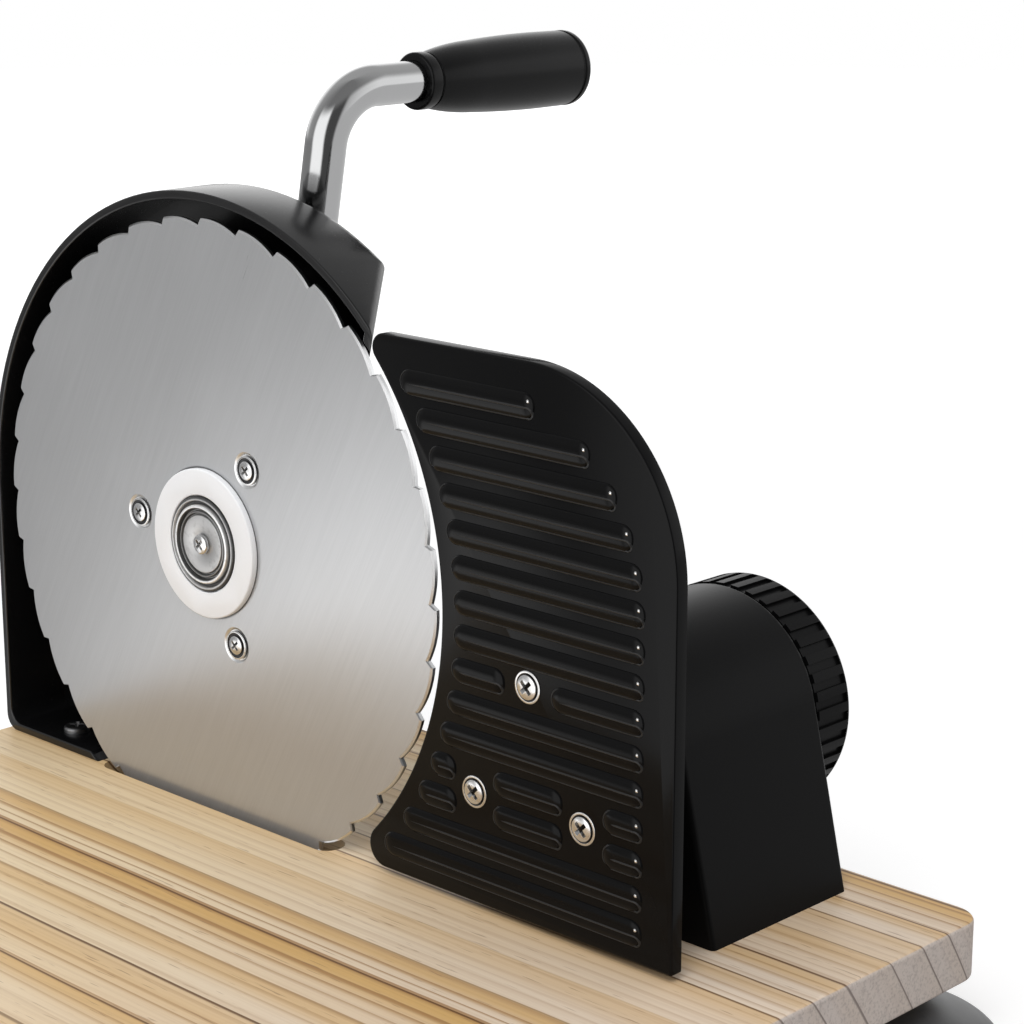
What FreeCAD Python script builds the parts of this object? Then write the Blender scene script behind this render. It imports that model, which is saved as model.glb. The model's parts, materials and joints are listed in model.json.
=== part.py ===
import FreeCAD, Part
import math
import os
import re

import Sketcher
from FreeCAD import Placement, Rotation, Vector

# Hand crank bread slicer, in millimetres.
#
# A scalloped steel blade turns in an open black hood that stands on a pine board. A crank behind
# the hood drives the blade through one pair of spur gears. Beside the blade, a ribbed fence plate
# slides back on a round barrel, moved by a screw and a thickness knob behind an arched stand.
# Four suction cups carry the board.
#
# The blade frame has its origin in the middle of the blade's front face: +X to the right along
# the blade, +Y to the back, +Z up. The object's own origin is on the floor, under the middle of
# its box, and the blade frame lies at (frame_x, frame_y, axis height) in it.

SIZES = {
    # Where the blade frame lies
    "frame_x": -55,
    "frame_y": 12.5,
    "axis_over_board": 81,
    # Board, measured from the blade frame, and how far cuts and joins run past a face
    "board_left": 103,
    "board_length": 316,
    "board_front": 138,
    "board_back": 91,
    "board_thickness": 17,
    "board_corner": 9,
    "board_edge": 1.2,
    "slot_length": 106,
    "slot_front": 3,
    "slot_back": 7,
    "overrun": 1,
    "end_gap": 0.3,
    # Suction cups and their screws
    "foot_height": 20,
    "cup_inset_x": 20,
    "cup_inset_y": 23,
    "cup_radius": 36,
    "cup_lip": 4,
    "cup_edge": 1.2,
    "cup_shoulder_radius": 31,
    "cup_shoulder": 6.3,
    "cup_neck_radius": 12,
    "cup_neck": 3,
    "cup_hollow": 6.5,
    "cup_flare": 9,
    "cup_screw_radius": 2.2,
    "cup_screw_room": 3,
    "cup_screw_head": 4.6,
    "cup_screw_rise": 3,
    "cup_screw_bite": 12,
    "cup_screw_seat": 11,
    # Blade
    "blade_radius": 95,
    "blade_thickness": 1.5,
    "blade_teeth": 36,
    "tooth_depth": 2.1,
    "tooth_step": 1.2,
    "tooth_crown": 0.8,
    "tooth_turn": 9.4,
    "blade_screw_ring": 31,
    "blade_screw_turn": 53,
    "blade_screw_radius": 2,
    "blade_screw_head": 4.25,
    "blade_screw_rise": 0.8,
    # White hub with its pinion, its bush, and the axle it turns on
    "hub_radius": 22.2,
    "hub_proud": 1.8,
    "hub_recess": 1.5,
    "flange_radius": 37,
    "flange_thickness": 3,
    "neck_radius": 16.4,
    "axle_radius": 6,
    "axle_proud": 0.6,
    "hub_bush_wall": 2.5,
    "cap_radius": 14.1,
    "cap_gap": 0.3,
    "cap_thickness": 2,
    "cap_step": 0.8,
    "cap_rim": 2.3,
    "cap_slope": 2.4,
    "cap_edge": 0.5,
    "axle_screw_radius": 2.5,
    "axle_screw_head": 4.4,
    "axle_screw_rise": 1.5,
    "axle_screw_bite": 10,
    # Gears
    "gear_module": 1.25,
    "pinion_teeth": 30,
    "wheel_teeth": 48,
    "pressure_angle": 20,
    "gear_backlash": 0.2,
    "gear_width": 8,
    "gear_plane": 9.5,
    "gear_lean": 9.95,
    "gear_gap": 0.4,
    "gear_root": 1.25,
    "dish_depth": 2,
    "dish_rim": 4,
    "dish_core": 5,
    # Hood and back plate
    "hood_radius": 102.6,
    "hood_front": 1.5,
    "hood_back": 22,
    "hood_wall": 2.5,
    "hood_end": 42,
    "hood_round": 4,
    "hood_end_round": 3,
    "hood_corner": 5,
    "wall_reach": 53.7,
    "wall_yaw": 45,
    "wall_lean": 10.4,
    "blade_side_gap": 1.7,
    "blade_rim_gap": 3,
    "slot_side_room": 2,
    "slot_head_room": 12,
    "hood_boss_radius": 11,
    "foot_left": 7,
    "foot_depth": 23,
    "foot_right": 12,
    "foot_thickness": 4,
    "gusset_thickness": 3,
    "gusset_height": 24,
    "gusset_inset": 3,
    "gusset_spread": 34,
    # Taper of every screw head, and the screws that hold the hood to the board
    "head_taper": 0.7,
    "hood_screw_radius": 2,
    "hood_screw_head": 4.2,
    "hood_screw_rise": 2,
    "hood_screw_bite": 11,
    "hood_screw_x": 78,
    "hood_screw_y": 8,
    "foot_screw_inset": 10,
    # Gear chamber and its cover
    "chamber_gap": 1.2,
    "chamber_wall": 1.6,
    "cover_thickness": 1.6,
    "cover_gap": 1.1,
    "cover_boss_radius": 8,
    "cover_boss_rise": 2.6,
    "cover_hole_gap": 0.8,
    "cover_screw_radius": 1.25,
    "cover_screw_head": 2.4,
    "cover_screw_rise": 1.2,
    "cover_screw_length": 9,
    "lug_radius": 3.6,
    "lug_angle": 25,
    # Crank
    "running_gap": 0.06,
    "bush_wall": 2,
    "shaft_radius": 5,
    "journal_radius": 4,
    "shaft_tip": 0.8,
    "arm_plane": 30,
    "crank_radius": 84.1,
    "arm_lean": 10.9,
    "rod_radius": 6,
    "rod_bend": 16,
    "rod_end": 117,
    "boss_radius": 11,
    "boss_length": 13,
    "boss_round": 0.5,
    "tenon_radius": 5,
    "tenon_start": 6.5,
    "nut_size": 13,
    "nut_length": 6.5,
    "nut_dome": 4,
    "nut_dome_inset": 0.6,
    "clip_radius": 6.6,
    "clip_thickness": 0.8,
    # Grip
    "grip_start": 61.8,
    "grip_length": 64.2,
    "grip_collar": 8.3,
    "grip_collar_length": 4,
    "grip_collar_edge": 0.8,
    "grip_collar_step": 1,
    "grip_neck": 8,
    "grip_waist": 10.5,
    "grip_waist_at": 22,
    "grip_waist_curve": 80,
    "grip_swell": 11.4,
    "grip_swell_at": 50,
    "grip_swell_curve": 700,
    "grip_shoulder_curve": 150,
    "grip_round": 2,
    "grip_end_lift": 0.8,
    "grip_clip_radius": 7.3,
    "grip_pocket_radius": 7.7,
    "grip_pocket_depth": 13,
    "grip_plug_length": 4,
    # Fence plate
    "fence_gap": 4.2,
    "fence_lead": 2,
    "fence_thickness": 2.2,
    "fence_right": 181,
    "fence_top": 72.3,
    "fence_corner": 60,
    "fence_left_top": 4,
    "fence_left_low": 6,
    "fence_clear": 2,
    "rib_first": 60.8,
    "rib_pitch": 9.4,
    "rib_count": 15,
    "rib_width": 7,
    "rib_height": 1,
    "rib_slope": 35,
    "rib_left": 5,
    "rib_right": 10,
    "rib_screw_gap": 8.5,
    "fence_screw_ring": 22.5,
    "fence_screw_turn": 90,
    "fence_screw_radius": 2,
    "fence_screw_head": 4.5,
    "fence_screw_rise": 1,
    "fence_screw_bite": 5,
    # Barrel, nut and spindle behind the fence
    "fence_axis_x": 131,
    "fence_axis_z": -36,
    "barrel_radius": 26,
    "barrel_wall": 3,
    "barrel_end": 58,
    "barrel_face": 6,
    "barrel_post_radius": 11,
    "groove_width": 4.3,
    "groove_depth": 1.5,
    "key_width": 4,
    "key_inset": 4,
    "key_length": 10,
    "key_gap": 0.3,
    "nut_radius": 8,
    "nut_start": 24,
    "nut_end": 40,
    "nut_shoulder": 2.4,
    "spindle_radius": 5,
    "spindle_start": 19,
    "spindle_chamfer": 1,
    "clip_groove": 0.6,
    "spindle_clip_radius": 8.5,
    # Arched stand
    "stand_radius": 33.4,
    "stand_front": 21,
    "stand_back": 78,
    "stand_foot_half": 44.8,
    "stand_wall": 3,
    "stand_round": 1.5,
    "sleeve_wall": 3,
    "sleeve_length": 15,
    "slide_gap": 0.08,
    "stand_boss_radius": 12,
    "stand_boss_depth": 5,
    "post_radius": 4.6,
    "post_height": 15,
    "post_cap": 2,
    "post_inset": 10.5,
    "post_side": 9,
    "stand_screw_radius": 2,
    "stand_screw_head": 4,
    "stand_screw_rise": 2.4,
    "stand_screw_length": 24,
    "well_gap": 0.3,
    "well_room": 0.4,
    # Thickness knob
    "knob_radius": 33.6,
    "knob_width": 14,
    "knob_gap": 0.4,
    "knob_ribs": 40,
    "knob_rib_depth": 0.9,
    "knob_rib_share": 0.5,
    "knob_rim": 3.2,
    "knob_web": 4,
    "knob_hub": 9,
    "knob_round": 1.2,
    "knob_well_radius": 11,
    "knob_well_depth": 3,
    "knob_seat": 2,
    "knob_screw_radius": 2,
    "knob_screw_head": 4,
    "knob_screw_rise": 2.2,
    "knob_screw_bite": 9,
}

doc = FreeCAD.newDocument("BreadSlicer")
sheet = doc.addObject("Spreadsheet::Sheet", "Sizes")
for row, (alias, size) in enumerate(SIZES.items(), 1):
    sheet.set(f"A{row}", alias)
    sheet.set(f"B{row}", str(size))
    sheet.setAlias(f"B{row}", alias)
doc.recompute()

# Places that several pieces share, as expressions on the sheet
AXIS_Z = "(foot_height + board_thickness + axis_over_board)"
BOARD_TOP = "(-axis_over_board)"
CENTRES = "(gear_module * (pinion_teeth + wheel_teeth) / 2)"
CRANK_X = f"({CENTRES} * sin(gear_lean))"
CRANK_Z = f"({CENTRES} * cos(gear_lean))"
HUB_BACK = "(gear_plane + gear_width)"
FLANGE_BACK = "(blade_thickness + flange_thickness)"
BUSH_RADIUS = "(shaft_radius + bush_wall)"
PLATE_FRONT = "(hood_back - hood_wall)"
COVER_BACK = "(gear_plane - cover_gap)"
COVER_FRONT = f"({COVER_BACK} - cover_thickness)"
WHEEL_TIP = "(gear_module * (wheel_teeth / 2 + 1))"
PINION_TIP = "(gear_module * (pinion_teeth / 2 + 1))"
CHAMBER_LOW = f"({PINION_TIP} + chamber_gap)"
CHAMBER_TOP = f"({WHEEL_TIP} + chamber_gap)"
BOSS_FRONT = "(arm_plane - boss_length / 2)"
BOSS_BACK = "(arm_plane + boss_length / 2)"
BOSS_FLAT = "sqrt(pow(boss_radius; 2) - pow(rod_radius; 2))"
FENCE_INNER = "(blade_radius + fence_gap)"
FENCE_LOW = "(fence_clear - axis_over_board)"
KNOB_FRONT = "(stand_back + knob_gap)"
KNOB_BACK = f"({KNOB_FRONT} + knob_width)"
KNOB_SEAT = f"({KNOB_BACK} - knob_well_depth)"

# Turns of three like screws on a ring, the side of the block of a slanted cut, and how near two
# places are that count as one
THIRDS = (0, 120, 240)
CUT_BLOCK = 400
NEAR = 1e-3

PIECES = {}


def bound(text):
    """Point the size names of an expression at the sheet."""
    def point(match):
        word = match.group()
        return "Sizes." + word if word in SIZES else word
    return re.sub(r"[a-z_][a-z_0-9]*", point, text)


def number(text):
    """Work out an expression on the sheet as a plain number."""
    result = sheet.evalExpression(bound(text))
    return float(getattr(result, "Value", result))


def bind(thing, path, text):
    """Bind one property of an object to the sheet."""
    thing.setExpression(path, bound(text))


def place(thing, x="0", y="0", z="0", turn=None):
    """Put an object at a bound place, turned by a rotation or leaned by a size about Y."""
    spot = Vector(number(x), number(y), number(z))
    leans = isinstance(turn, str)
    if leans:
        thing.Placement = Placement(spot, Rotation(Vector(0, 1, 0), number(turn)))
        bind(thing, "Placement.Rotation.Angle", turn)
    else:
        thing.Placement = Placement(spot, turn or Rotation())
    for letter, text in zip("xyz", (x, y, z)):
        bind(thing, f"Placement.Base.{letter}", text)
    return thing


def at_blade(thing, x="0", y="0", z="0", turn=None):
    """Put an object in the blade frame."""
    return place(thing, f"frame_x + ({x})", f"frame_y + ({y})", f"{AXIS_Z} + ({z})", turn)


def at_floor(thing, x="0", y="0", z="0"):
    """Put an object under the blade frame, with its height counted from the floor."""
    return place(thing, f"frame_x + ({x})", f"frame_y + ({y})", z)


def keep(name, thing):
    """Name a finished piece, which makes it one of the files."""
    thing.Label = name
    PIECES[name] = thing
    return thing


class Outline:
    """A sketch in a body, its corners and radii bound to the sheet."""

    def __init__(self, body, plane, level="0"):
        self.body = body
        self.plane = plane
        self.sketch = body.newObject("Sketcher::SketchObject", "Sketch")
        role = plane + "_Plane"
        face = next(item for item in body.Origin.OriginFeatures if item.Role == role)
        self.sketch.AttachmentSupport = (face, [""])
        self.sketch.MapMode = "FlatFace"
        sign = "-" if plane == "XZ" else ""
        bind(self.sketch, ".AttachmentOffset.Base.z", f"{sign}({level})")
        self.rules = []
        self.texts = []

    def limit(self, kind, text, *where):
        """Note one constraint, which is bound if it has a text."""
        size = (number(text),) if text else ()
        self.rules.append(Sketcher.Constraint(kind, *where, *size))
        self.texts.append(text)

    def settle(self):
        """Add the noted constraints together and bind them."""
        self.sketch.addConstraint(self.rules)
        for index, text in enumerate(self.texts):
            if text:
                bind(self.sketch, f"Constraints[{index}]", text)
        return self.sketch

    def fix(self, edge, end, x, y):
        """Fix an end or centre of an edge from the sketch's origin."""
        self.limit("DistanceX", x, -1, 1, edge, end)
        self.limit("DistanceY", y, -1, 1, edge, end)

    def circle(self, x, y, radius):
        """Draw a full circle."""
        shape = Part.Circle(Vector(number(x), number(y)), Vector(0, 0, 1), number(radius))
        edge = self.sketch.addGeometry(shape)
        self.fix(edge, 3, x, y)
        self.limit("Radius", radius, edge)
        return self

    def path(self, *steps):
        """Draw a closed outline.

        Each step is a corner (x, y), or a corner reached by an arc (x, y, radius, side), where
        the side is left for an arc that turns left and right for one that turns right.
        """
        spots = [Vector(number(step[0]), number(step[1])) for step in steps]
        edges = []
        for index, step in enumerate(steps):
            first, last = spots[index - 1], spots[index]
            if len(step) == 2:
                edges.append((self.sketch.addGeometry(Part.LineSegment(first, last)), 1, 2))
                continue
            shape, starts = arc(first, last, number(step[2]), step[3])
            edge = self.sketch.addGeometry(shape)
            self.limit("Radius", step[2], edge)
            edges.append((edge, 1, 2) if starts else (edge, 2, 1))
        for index, step in enumerate(steps):
            here, after = edges[index], edges[(index + 1) % len(edges)]
            self.limit("Coincident", None, here[0], here[2], after[0], after[1])
            self.fix(here[0], here[2], step[0], step[1])
        return self


def arc(first, last, radius, side):
    """Make the shorter arc between two points, and say if it starts at the first."""
    chord = last - first
    half = chord.Length / 2
    rise = math.sqrt(max(radius * radius - half * half, 0))
    left = Vector(-chord.y, chord.x).normalize()
    turn = 1 if side == "left" else -1
    centre = (first + last) * 0.5 + left * rise * turn
    angles = [math.atan2(spot.y - centre.y, spot.x - centre.x) for spot in (first, last)]
    if turn < 0:
        angles.reverse()
    if angles[1] < angles[0]:
        angles[1] += 2 * math.pi
    return Part.ArcOfCircle(Part.Circle(centre, Vector(0, 0, 1), radius), *angles), turn > 0


def new_body(name):
    """Start a body."""
    return doc.addObject("PartDesign::Body", name)


def pad(outline, length, taper=None, back=False):
    """Raise an outline along +X, +Y or +Z, or the other way."""
    raised = outline.body.newObject("PartDesign::Pad", "Pad")
    raised.Profile = outline.settle()
    raised.Reversed = (outline.plane == "XZ") != back
    bind(raised, "Length", length)
    if taper:
        bind(raised, "TaperAngle", f"-({taper})")
    doc.recompute()
    return raised


def pocket(outline, depth, back=False):
    """Cut an outline along +X, +Y or +Z, or the other way, and make sure that it cut."""
    before = outline.body.Shape.Volume
    cut = outline.body.newObject("PartDesign::Pocket", "Pocket")
    cut.Profile = outline.settle()
    cut.Reversed = (outline.plane == "XZ") == back
    bind(cut, "Length", depth)
    doc.recompute()
    if not outline.body.Shape.Volume < before:
        raise RuntimeError(f"{outline.body.Label}: a pocket cut nothing")
    return cut


def revolve(outline, axis):
    """Turn an outline about one of its sketch's axes."""
    turned = outline.body.newObject("PartDesign::Revolution", "Revolution")
    turned.Profile = outline.settle()
    turned.ReferenceAxis = (outline.sketch, [axis])
    turned.Angle = 360
    doc.recompute()
    return turned


def round_edges(body, radius, wanted):
    """Fillet the edges of a body that a test picks."""
    base = body.Tip
    names = [f"Edge{index}" for index, edge in enumerate(base.Shape.Edges, 1) if wanted(edge)]
    fillet = body.newObject("PartDesign::Fillet", "Fillet")
    fillet.Base = (base, names)
    bind(fillet, "Radius", radius)
    doc.recompute()
    return fillet


def lies_at(edge, axis, level):
    """Tell whether both ends and the middle of an edge lie at one level of an axis."""
    middle = edge.valueAt((edge.FirstParameter + edge.LastParameter) / 2)
    spots = [vertex.Point for vertex in edge.Vertexes] + [middle]
    return all(abs(getattr(spot, axis) - level) < NEAR for spot in spots)


def turned_piece(name, *steps):
    """Make a body by turning (along Y, radius) corners about its own Y axis."""
    body = new_body(name)
    revolve(Outline(body, "YZ").path(*steps), "H_Axis")
    return keep(name, body)


def tube_piece(name, start, end, outer, inner):
    """Make a plain bush, ring or clip about its own Y axis."""
    body = new_body(name)
    ring = Outline(body, "XZ", start).circle("0", "0", outer).circle("0", "0", inner)
    pad(ring, f"{end} - ({start})")
    return keep(name, body)


def screw(name, spot, turn, head, rise, shank, length):
    """Make one screw: its shank runs along the turned Z axis, its head the other way."""
    cone = doc.addObject("Part::Cone", name + "_head")
    bind(cone, "Radius1", head)
    bind(cone, "Radius2", f"{head} * head_taper")
    bind(cone, "Height", rise)
    place(cone, *spot, turn * Rotation(Vector(1, 0, 0), 180))
    stem = doc.addObject("Part::Cylinder", name + "_shank")
    bind(stem, "Radius", shank)
    bind(stem, "Height", length)
    place(stem, *spot, turn)
    whole = doc.addObject("Part::Fuse", name)
    whole.Base = cone
    whole.Tool = stem
    return whole


def screws(name, spots, turn, head, rise, shank, length):
    """Make a set of like screws as one piece with a solid for each."""
    group = doc.addObject("Part::Compound", name)
    group.Links = [screw(f"{name}_{index}", spot, turn, head, rise, shank, length)
                   for index, spot in enumerate(spots)]
    return keep(name, group)


INTO_BACK = Rotation(Vector(1, 0, 0), -90)
INTO_FRONT = Rotation(Vector(1, 0, 0), 90)
DOWN = Rotation(Vector(1, 0, 0), 180)
UP = Rotation()


def blade_spot(x, y, z):
    """Say where a spot of the blade frame lies in the object."""
    return f"frame_x + ({x})", f"frame_y + ({y})", f"{AXIS_Z} + ({z})"


def floor_spot(x, y, z):
    """Say where a spot beside the blade, at a height over the floor, lies in the object."""
    return f"frame_x + ({x})", f"frame_y + ({y})", z


def on_ring(radius, angle):
    """Give a spot on a ring, by its angle from the first axis."""
    return f"(({radius}) * cos({angle}))", f"(({radius}) * sin({angle}))"


# Places of the screws, in the blade frame
CUP_SPOTS = {
    "front_left": ("-board_left + cup_inset_x", "-board_front + cup_inset_y"),
    "front_right": ("board_length - board_left - cup_inset_x", "-board_front + cup_inset_y"),
    "back_left": ("-board_left + cup_inset_x", "board_back - cup_inset_y"),
    "back_right": ("board_length - board_left - cup_inset_x", "board_back - cup_inset_y"),
}
FOOT_Y = "(hood_back + foot_depth / 2)"
FOOT_LEFT = "(foot_left - hood_radius)"
HOOD_SPOTS = [
    ("-hood_screw_x", "hood_screw_y", f"{BOARD_TOP} + hood_wall"),
    (f"{FOOT_LEFT} + foot_screw_inset", FOOT_Y, f"{BOARD_TOP} + foot_thickness"),
    ("-foot_right - foot_screw_inset", FOOT_Y, f"{BOARD_TOP} + foot_thickness"),
]
POST_HALF = "(stand_foot_half - post_inset)"
POST_SPOTS = [(f"fence_axis_x + {side} * {POST_HALF}", y)
              for side in ("-1", "1")
              for y in ("stand_front + post_side", "stand_back - post_side")]
BLADE_SPOTS = [on_ring("blade_screw_ring", f"blade_screw_turn + {turn}") for turn in THIRDS]
FENCE_SPOTS = [on_ring("fence_screw_ring", f"fence_screw_turn + {turn}") for turn in THIRDS]
LUG_RING = f"({CHAMBER_TOP} + lug_radius)"
LUG_SPOTS = [(x, f"({CENTRES} + {z})") for x, z in (on_ring(LUG_RING, "lug_angle"),
                                                   on_ring(LUG_RING, "180 - lug_angle"))]
LUG_SPOTS.append(("0", f"(-({CHAMBER_LOW} + lug_radius))"))


def make_board():
    """Pine board with rounded corners and the slot that the blade dips into."""
    body = new_body("base_board")
    left, right = "-board_left", "(board_length - board_left)"
    front, back = "-board_front", "board_back"
    turn = "board_corner"
    plan = Outline(body, "XY", "foot_height").path(
        (f"{left} + {turn}", front, turn, "left"), (f"{right} - {turn}", front),
        (right, f"{front} + {turn}", turn, "left"), (right, f"{back} - {turn}"),
        (f"{right} - {turn}", back, turn, "left"), (f"{left} + {turn}", back),
        (left, f"{back} - {turn}", turn, "left"), (left, f"{front} + {turn}"))
    pad(plan, "board_thickness")
    levels = number("foot_height"), number("foot_height + board_thickness")
    round_edges(body, "board_edge", lambda edge: any(lies_at(edge, "z", one) for one in levels))
    half, end = "slot_length / 2", "(slot_front + slot_back) / 2"
    middle = "(slot_back - slot_front) / 2"
    slot = Outline(body, "XY", "foot_height").path(
        (f"{end} - {half}", "-slot_front", end, "left"), (f"{half} - {end}", "-slot_front"),
        (half, middle, end, "left"), (f"{half} - {end}", "slot_back", end, "left"),
        (f"{end} - {half}", "slot_back"), (f"-{half}", middle, end, "left"))
    pocket(slot, "board_thickness")
    holes = Outline(body, "XY", "foot_height")
    for x, y in CUP_SPOTS.values():
        holes.circle(x, y, "cup_screw_radius")
    pocket(holes, "cup_screw_bite")
    pilots = Outline(body, "XY", "foot_height + board_thickness")
    for x, y, _ in HOOD_SPOTS:
        pilots.circle(x, y, "hood_screw_radius")
    pocket(pilots, "hood_screw_bite", back=True)
    clear = Outline(body, "XY", "foot_height")
    wells = Outline(body, "XY", "foot_height")
    for x, y in POST_SPOTS:
        clear.circle(x, y, "stand_screw_radius")
        wells.circle(x, y, "stand_screw_head + well_gap")
    pocket(clear, "board_thickness")
    pocket(wells, "stand_screw_rise + well_room")
    at_floor(keep("base_board", body))


def make_cups():
    """Four rubber suction cups and the screws that hold them under the board."""
    rim, room = "cup_radius", "cup_screw_radius + cup_screw_room"
    for corner, (x, y) in CUP_SPOTS.items():
        name = f"suction_cup_{corner}"
        body = new_body(name)
        profile = Outline(body, "XZ").path(
            (f"{rim} - cup_lip", "0"), (rim, "0"), (rim, "cup_edge"),
            ("cup_shoulder_radius", "cup_shoulder", "cup_flare", "left"),
            ("cup_neck_radius", "foot_height - cup_neck"), ("cup_neck_radius", "foot_height"),
            ("cup_screw_radius", "foot_height"), ("cup_screw_radius", "cup_screw_seat"),
            (room, "cup_screw_seat"), (room, "cup_hollow"))
        revolve(profile, "V_Axis")
        at_floor(keep(name, body), x, y)
    spots = [floor_spot(x, y, "cup_screw_seat") for x, y in CUP_SPOTS.values()]
    screws("cup_screws", spots, UP, "cup_screw_head", "cup_screw_rise", "cup_screw_radius",
           "foot_height - cup_screw_seat + cup_screw_bite")


def flat_spot(radius, angle):
    """Give a point in the plane of the blade and the gears, by its angle in degrees."""
    turn = math.radians(angle)
    return Vector(radius * math.cos(turn), 0, radius * math.sin(turn))


def make_blade():
    """Steel disc whose rim steps out and falls away again at each tooth."""
    count = SIZES["blade_teeth"]
    radius, depth = number("blade_radius"), number("tooth_depth")
    pitch, step = 360 / count, math.degrees(number("tooth_step / blade_radius"))
    crown = radius - depth / 2 - radius * (1 - math.cos(math.radians(pitch - step) / 2))
    crown += number("tooth_crown")
    edges = []
    for index in range(count):
        tip = index * pitch + number("tooth_turn")
        valley = flat_spot(radius - depth, tip + step)
        middle = flat_spot(crown, tip + (pitch + step) / 2)
        edges.append(Part.makeLine(flat_spot(radius, tip), valley))
        edges.append(Part.Arc(valley, middle, flat_spot(radius, tip + pitch)).toShape())
    solid = Part.Face(Part.Wire(edges)).extrude(Vector(0, number("blade_thickness"), 0))
    solid = solid.cut(disc("-overrun", "blade_thickness + overrun", "hub_radius"))
    for x, z in BLADE_SPOTS:
        solid = solid.cut(disc("-overrun", "blade_thickness + overrun", "blade_screw_radius", x, z))
    piece = doc.addObject("Part::Feature", "blade")
    piece.Shape = solid
    at_blade(keep("blade", piece))
    spots = [blade_spot(x, "0", z) for x, z in BLADE_SPOTS]
    screws("blade_screws", spots, INTO_BACK, "blade_screw_head", "blade_screw_rise",
           "blade_screw_radius", FLANGE_BACK)


def gear_face(teeth, phase):
    """Draw the face of a spur gear: arcs through three points stand for the involutes."""
    module = number("gear_module")
    press = math.radians(number("pressure_angle"))
    pitch = module * teeth / 2
    base = pitch * math.cos(press)
    tip = pitch + module
    root = pitch - number("gear_root") * module
    thick = math.pi * module / 2 - number("gear_backlash") / 2

    def half(radius):
        """Half of a tooth's angle at a radius, in degrees."""
        spread = math.acos(min(base / radius, 1))
        spiral = math.tan(spread) - spread
        return math.degrees(thick / pitch / 2 + math.tan(press) - press - spiral)

    low = max(base, root)
    levels = low, (low + tip) / 2, tip
    edges = []
    for index in range(teeth):
        here = phase + 360 * index / teeth
        after = here + 360 / teeth
        rise = [flat_spot(radius, here - half(radius)) for radius in levels]
        fall = [flat_spot(radius, here + half(radius)) for radius in reversed(levels)]
        start, end = flat_spot(root, here + half(low)), flat_spot(root, after - half(low))
        edges.append(Part.Arc(*rise).toShape())
        edges.append(Part.Arc(rise[2], flat_spot(tip, here), fall[0]).toShape())
        edges.append(Part.Arc(*fall).toShape())
        if low > root:
            edges.append(Part.makeLine(fall[2], start))
        edges.append(Part.Arc(start, flat_spot(root, (here + after) / 2), end).toShape())
        if low > root:
            edges.append(Part.makeLine(end, flat_spot(low, after - half(low))))
    return Part.Face(Part.Wire(edges))


def make_hub():
    """White hub: boss through the blade, flange behind it, and the pinion on its back."""
    bore = "(axle_radius + hub_bush_wall)"
    teeth = gear_face(SIZES["pinion_teeth"], 90 - number("gear_lean"))
    teeth.translate(Vector(0, number("gear_plane"), 0))
    solid = teeth.extrude(Vector(0, number("gear_width"), 0))
    plain = (("-hub_proud", "blade_thickness", "hub_radius"),
             ("blade_thickness", FLANGE_BACK, "flange_radius"),
             (FLANGE_BACK, "gear_plane", "neck_radius"))
    for start, end, radius in plain:
        solid = solid.fuse(disc(start, end, radius))
    solid = solid.cut(disc("-hub_proud", HUB_BACK, bore))
    solid = solid.cut(disc("-hub_proud", "hub_recess - hub_proud", "cap_radius + cap_gap"))
    for x, z in BLADE_SPOTS:
        solid = solid.cut(disc("blade_thickness", FLANGE_BACK, "blade_screw_radius", x, z))
    piece = doc.addObject("Part::Feature", "blade_hub")
    piece.Shape = solid.removeSplitter()
    at_blade(keep("blade_hub", piece))
    at_blade(tube_piece("hub_bush", "hub_recess - hub_proud", HUB_BACK, bore,
                        "axle_radius + running_gap"))


def disc(start, end, radius, x="0", z="0"):
    """Make a plain cylinder along Y between two levels."""
    spot = Vector(number(x), number(start), number(z))
    height = number(f"{end} - ({start})")
    return Part.makeCylinder(number(radius), height, spot, Vector(0, 1, 0))


def make_axle():
    """Fixed steel stud of the blade, its stepped cap and the cap's screw."""
    front = "-axle_proud"
    screw_end = f"({front} + axle_screw_bite)"
    at_blade(turned_piece(
        "blade_axle", (front, "axle_screw_radius"), (front, "axle_radius"),
        ("hood_back", "axle_radius"), ("hood_back", "0"), (screw_end, "0"),
        (screw_end, "axle_screw_radius")))
    outer, inner = "cap_radius", "cap_radius - cap_rim"
    face = f"({front} - cap_thickness)"
    at_blade(turned_piece(
        "axle_cap", (front, "axle_screw_radius"), (f"{face} + cap_step", "axle_screw_radius"),
        (f"{face} + cap_step", f"{inner} - cap_slope"), (face, inner),
        (face, f"{outer} - cap_edge"), (f"{face} + cap_edge", outer), (front, outer)))
    spots = [blade_spot("0", f"{face} + cap_step", "0")]
    screws("axle_screw", spots, INTO_BACK, "axle_screw_head", "axle_screw_rise",
           "axle_screw_radius", f"{screw_end} - ({face} + cap_step)")


def keyhole(outline, low, top):
    """Draw the outline round two circles on the line of the gear centres."""
    slope = f"(({low} - {top}) / {CENTRES})"
    side = f"sqrt(1 - pow({slope}; 2))"
    low_x, low_z = f"({low} * {side})", f"({low} * {slope})"
    top_x, top_z = f"({top} * {side})", f"({CENTRES} + {top} * {slope})"
    crown = f"({CENTRES} + {top})"
    return outline.path(
        (low_x, low_z, low, "left"), (top_x, top_z), ("0", crown, top, "left"),
        (f"-{top_x}", top_z, top, "left"), (f"-{low_x}", low_z),
        ("0", f"-{low}", low, "left"))


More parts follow.
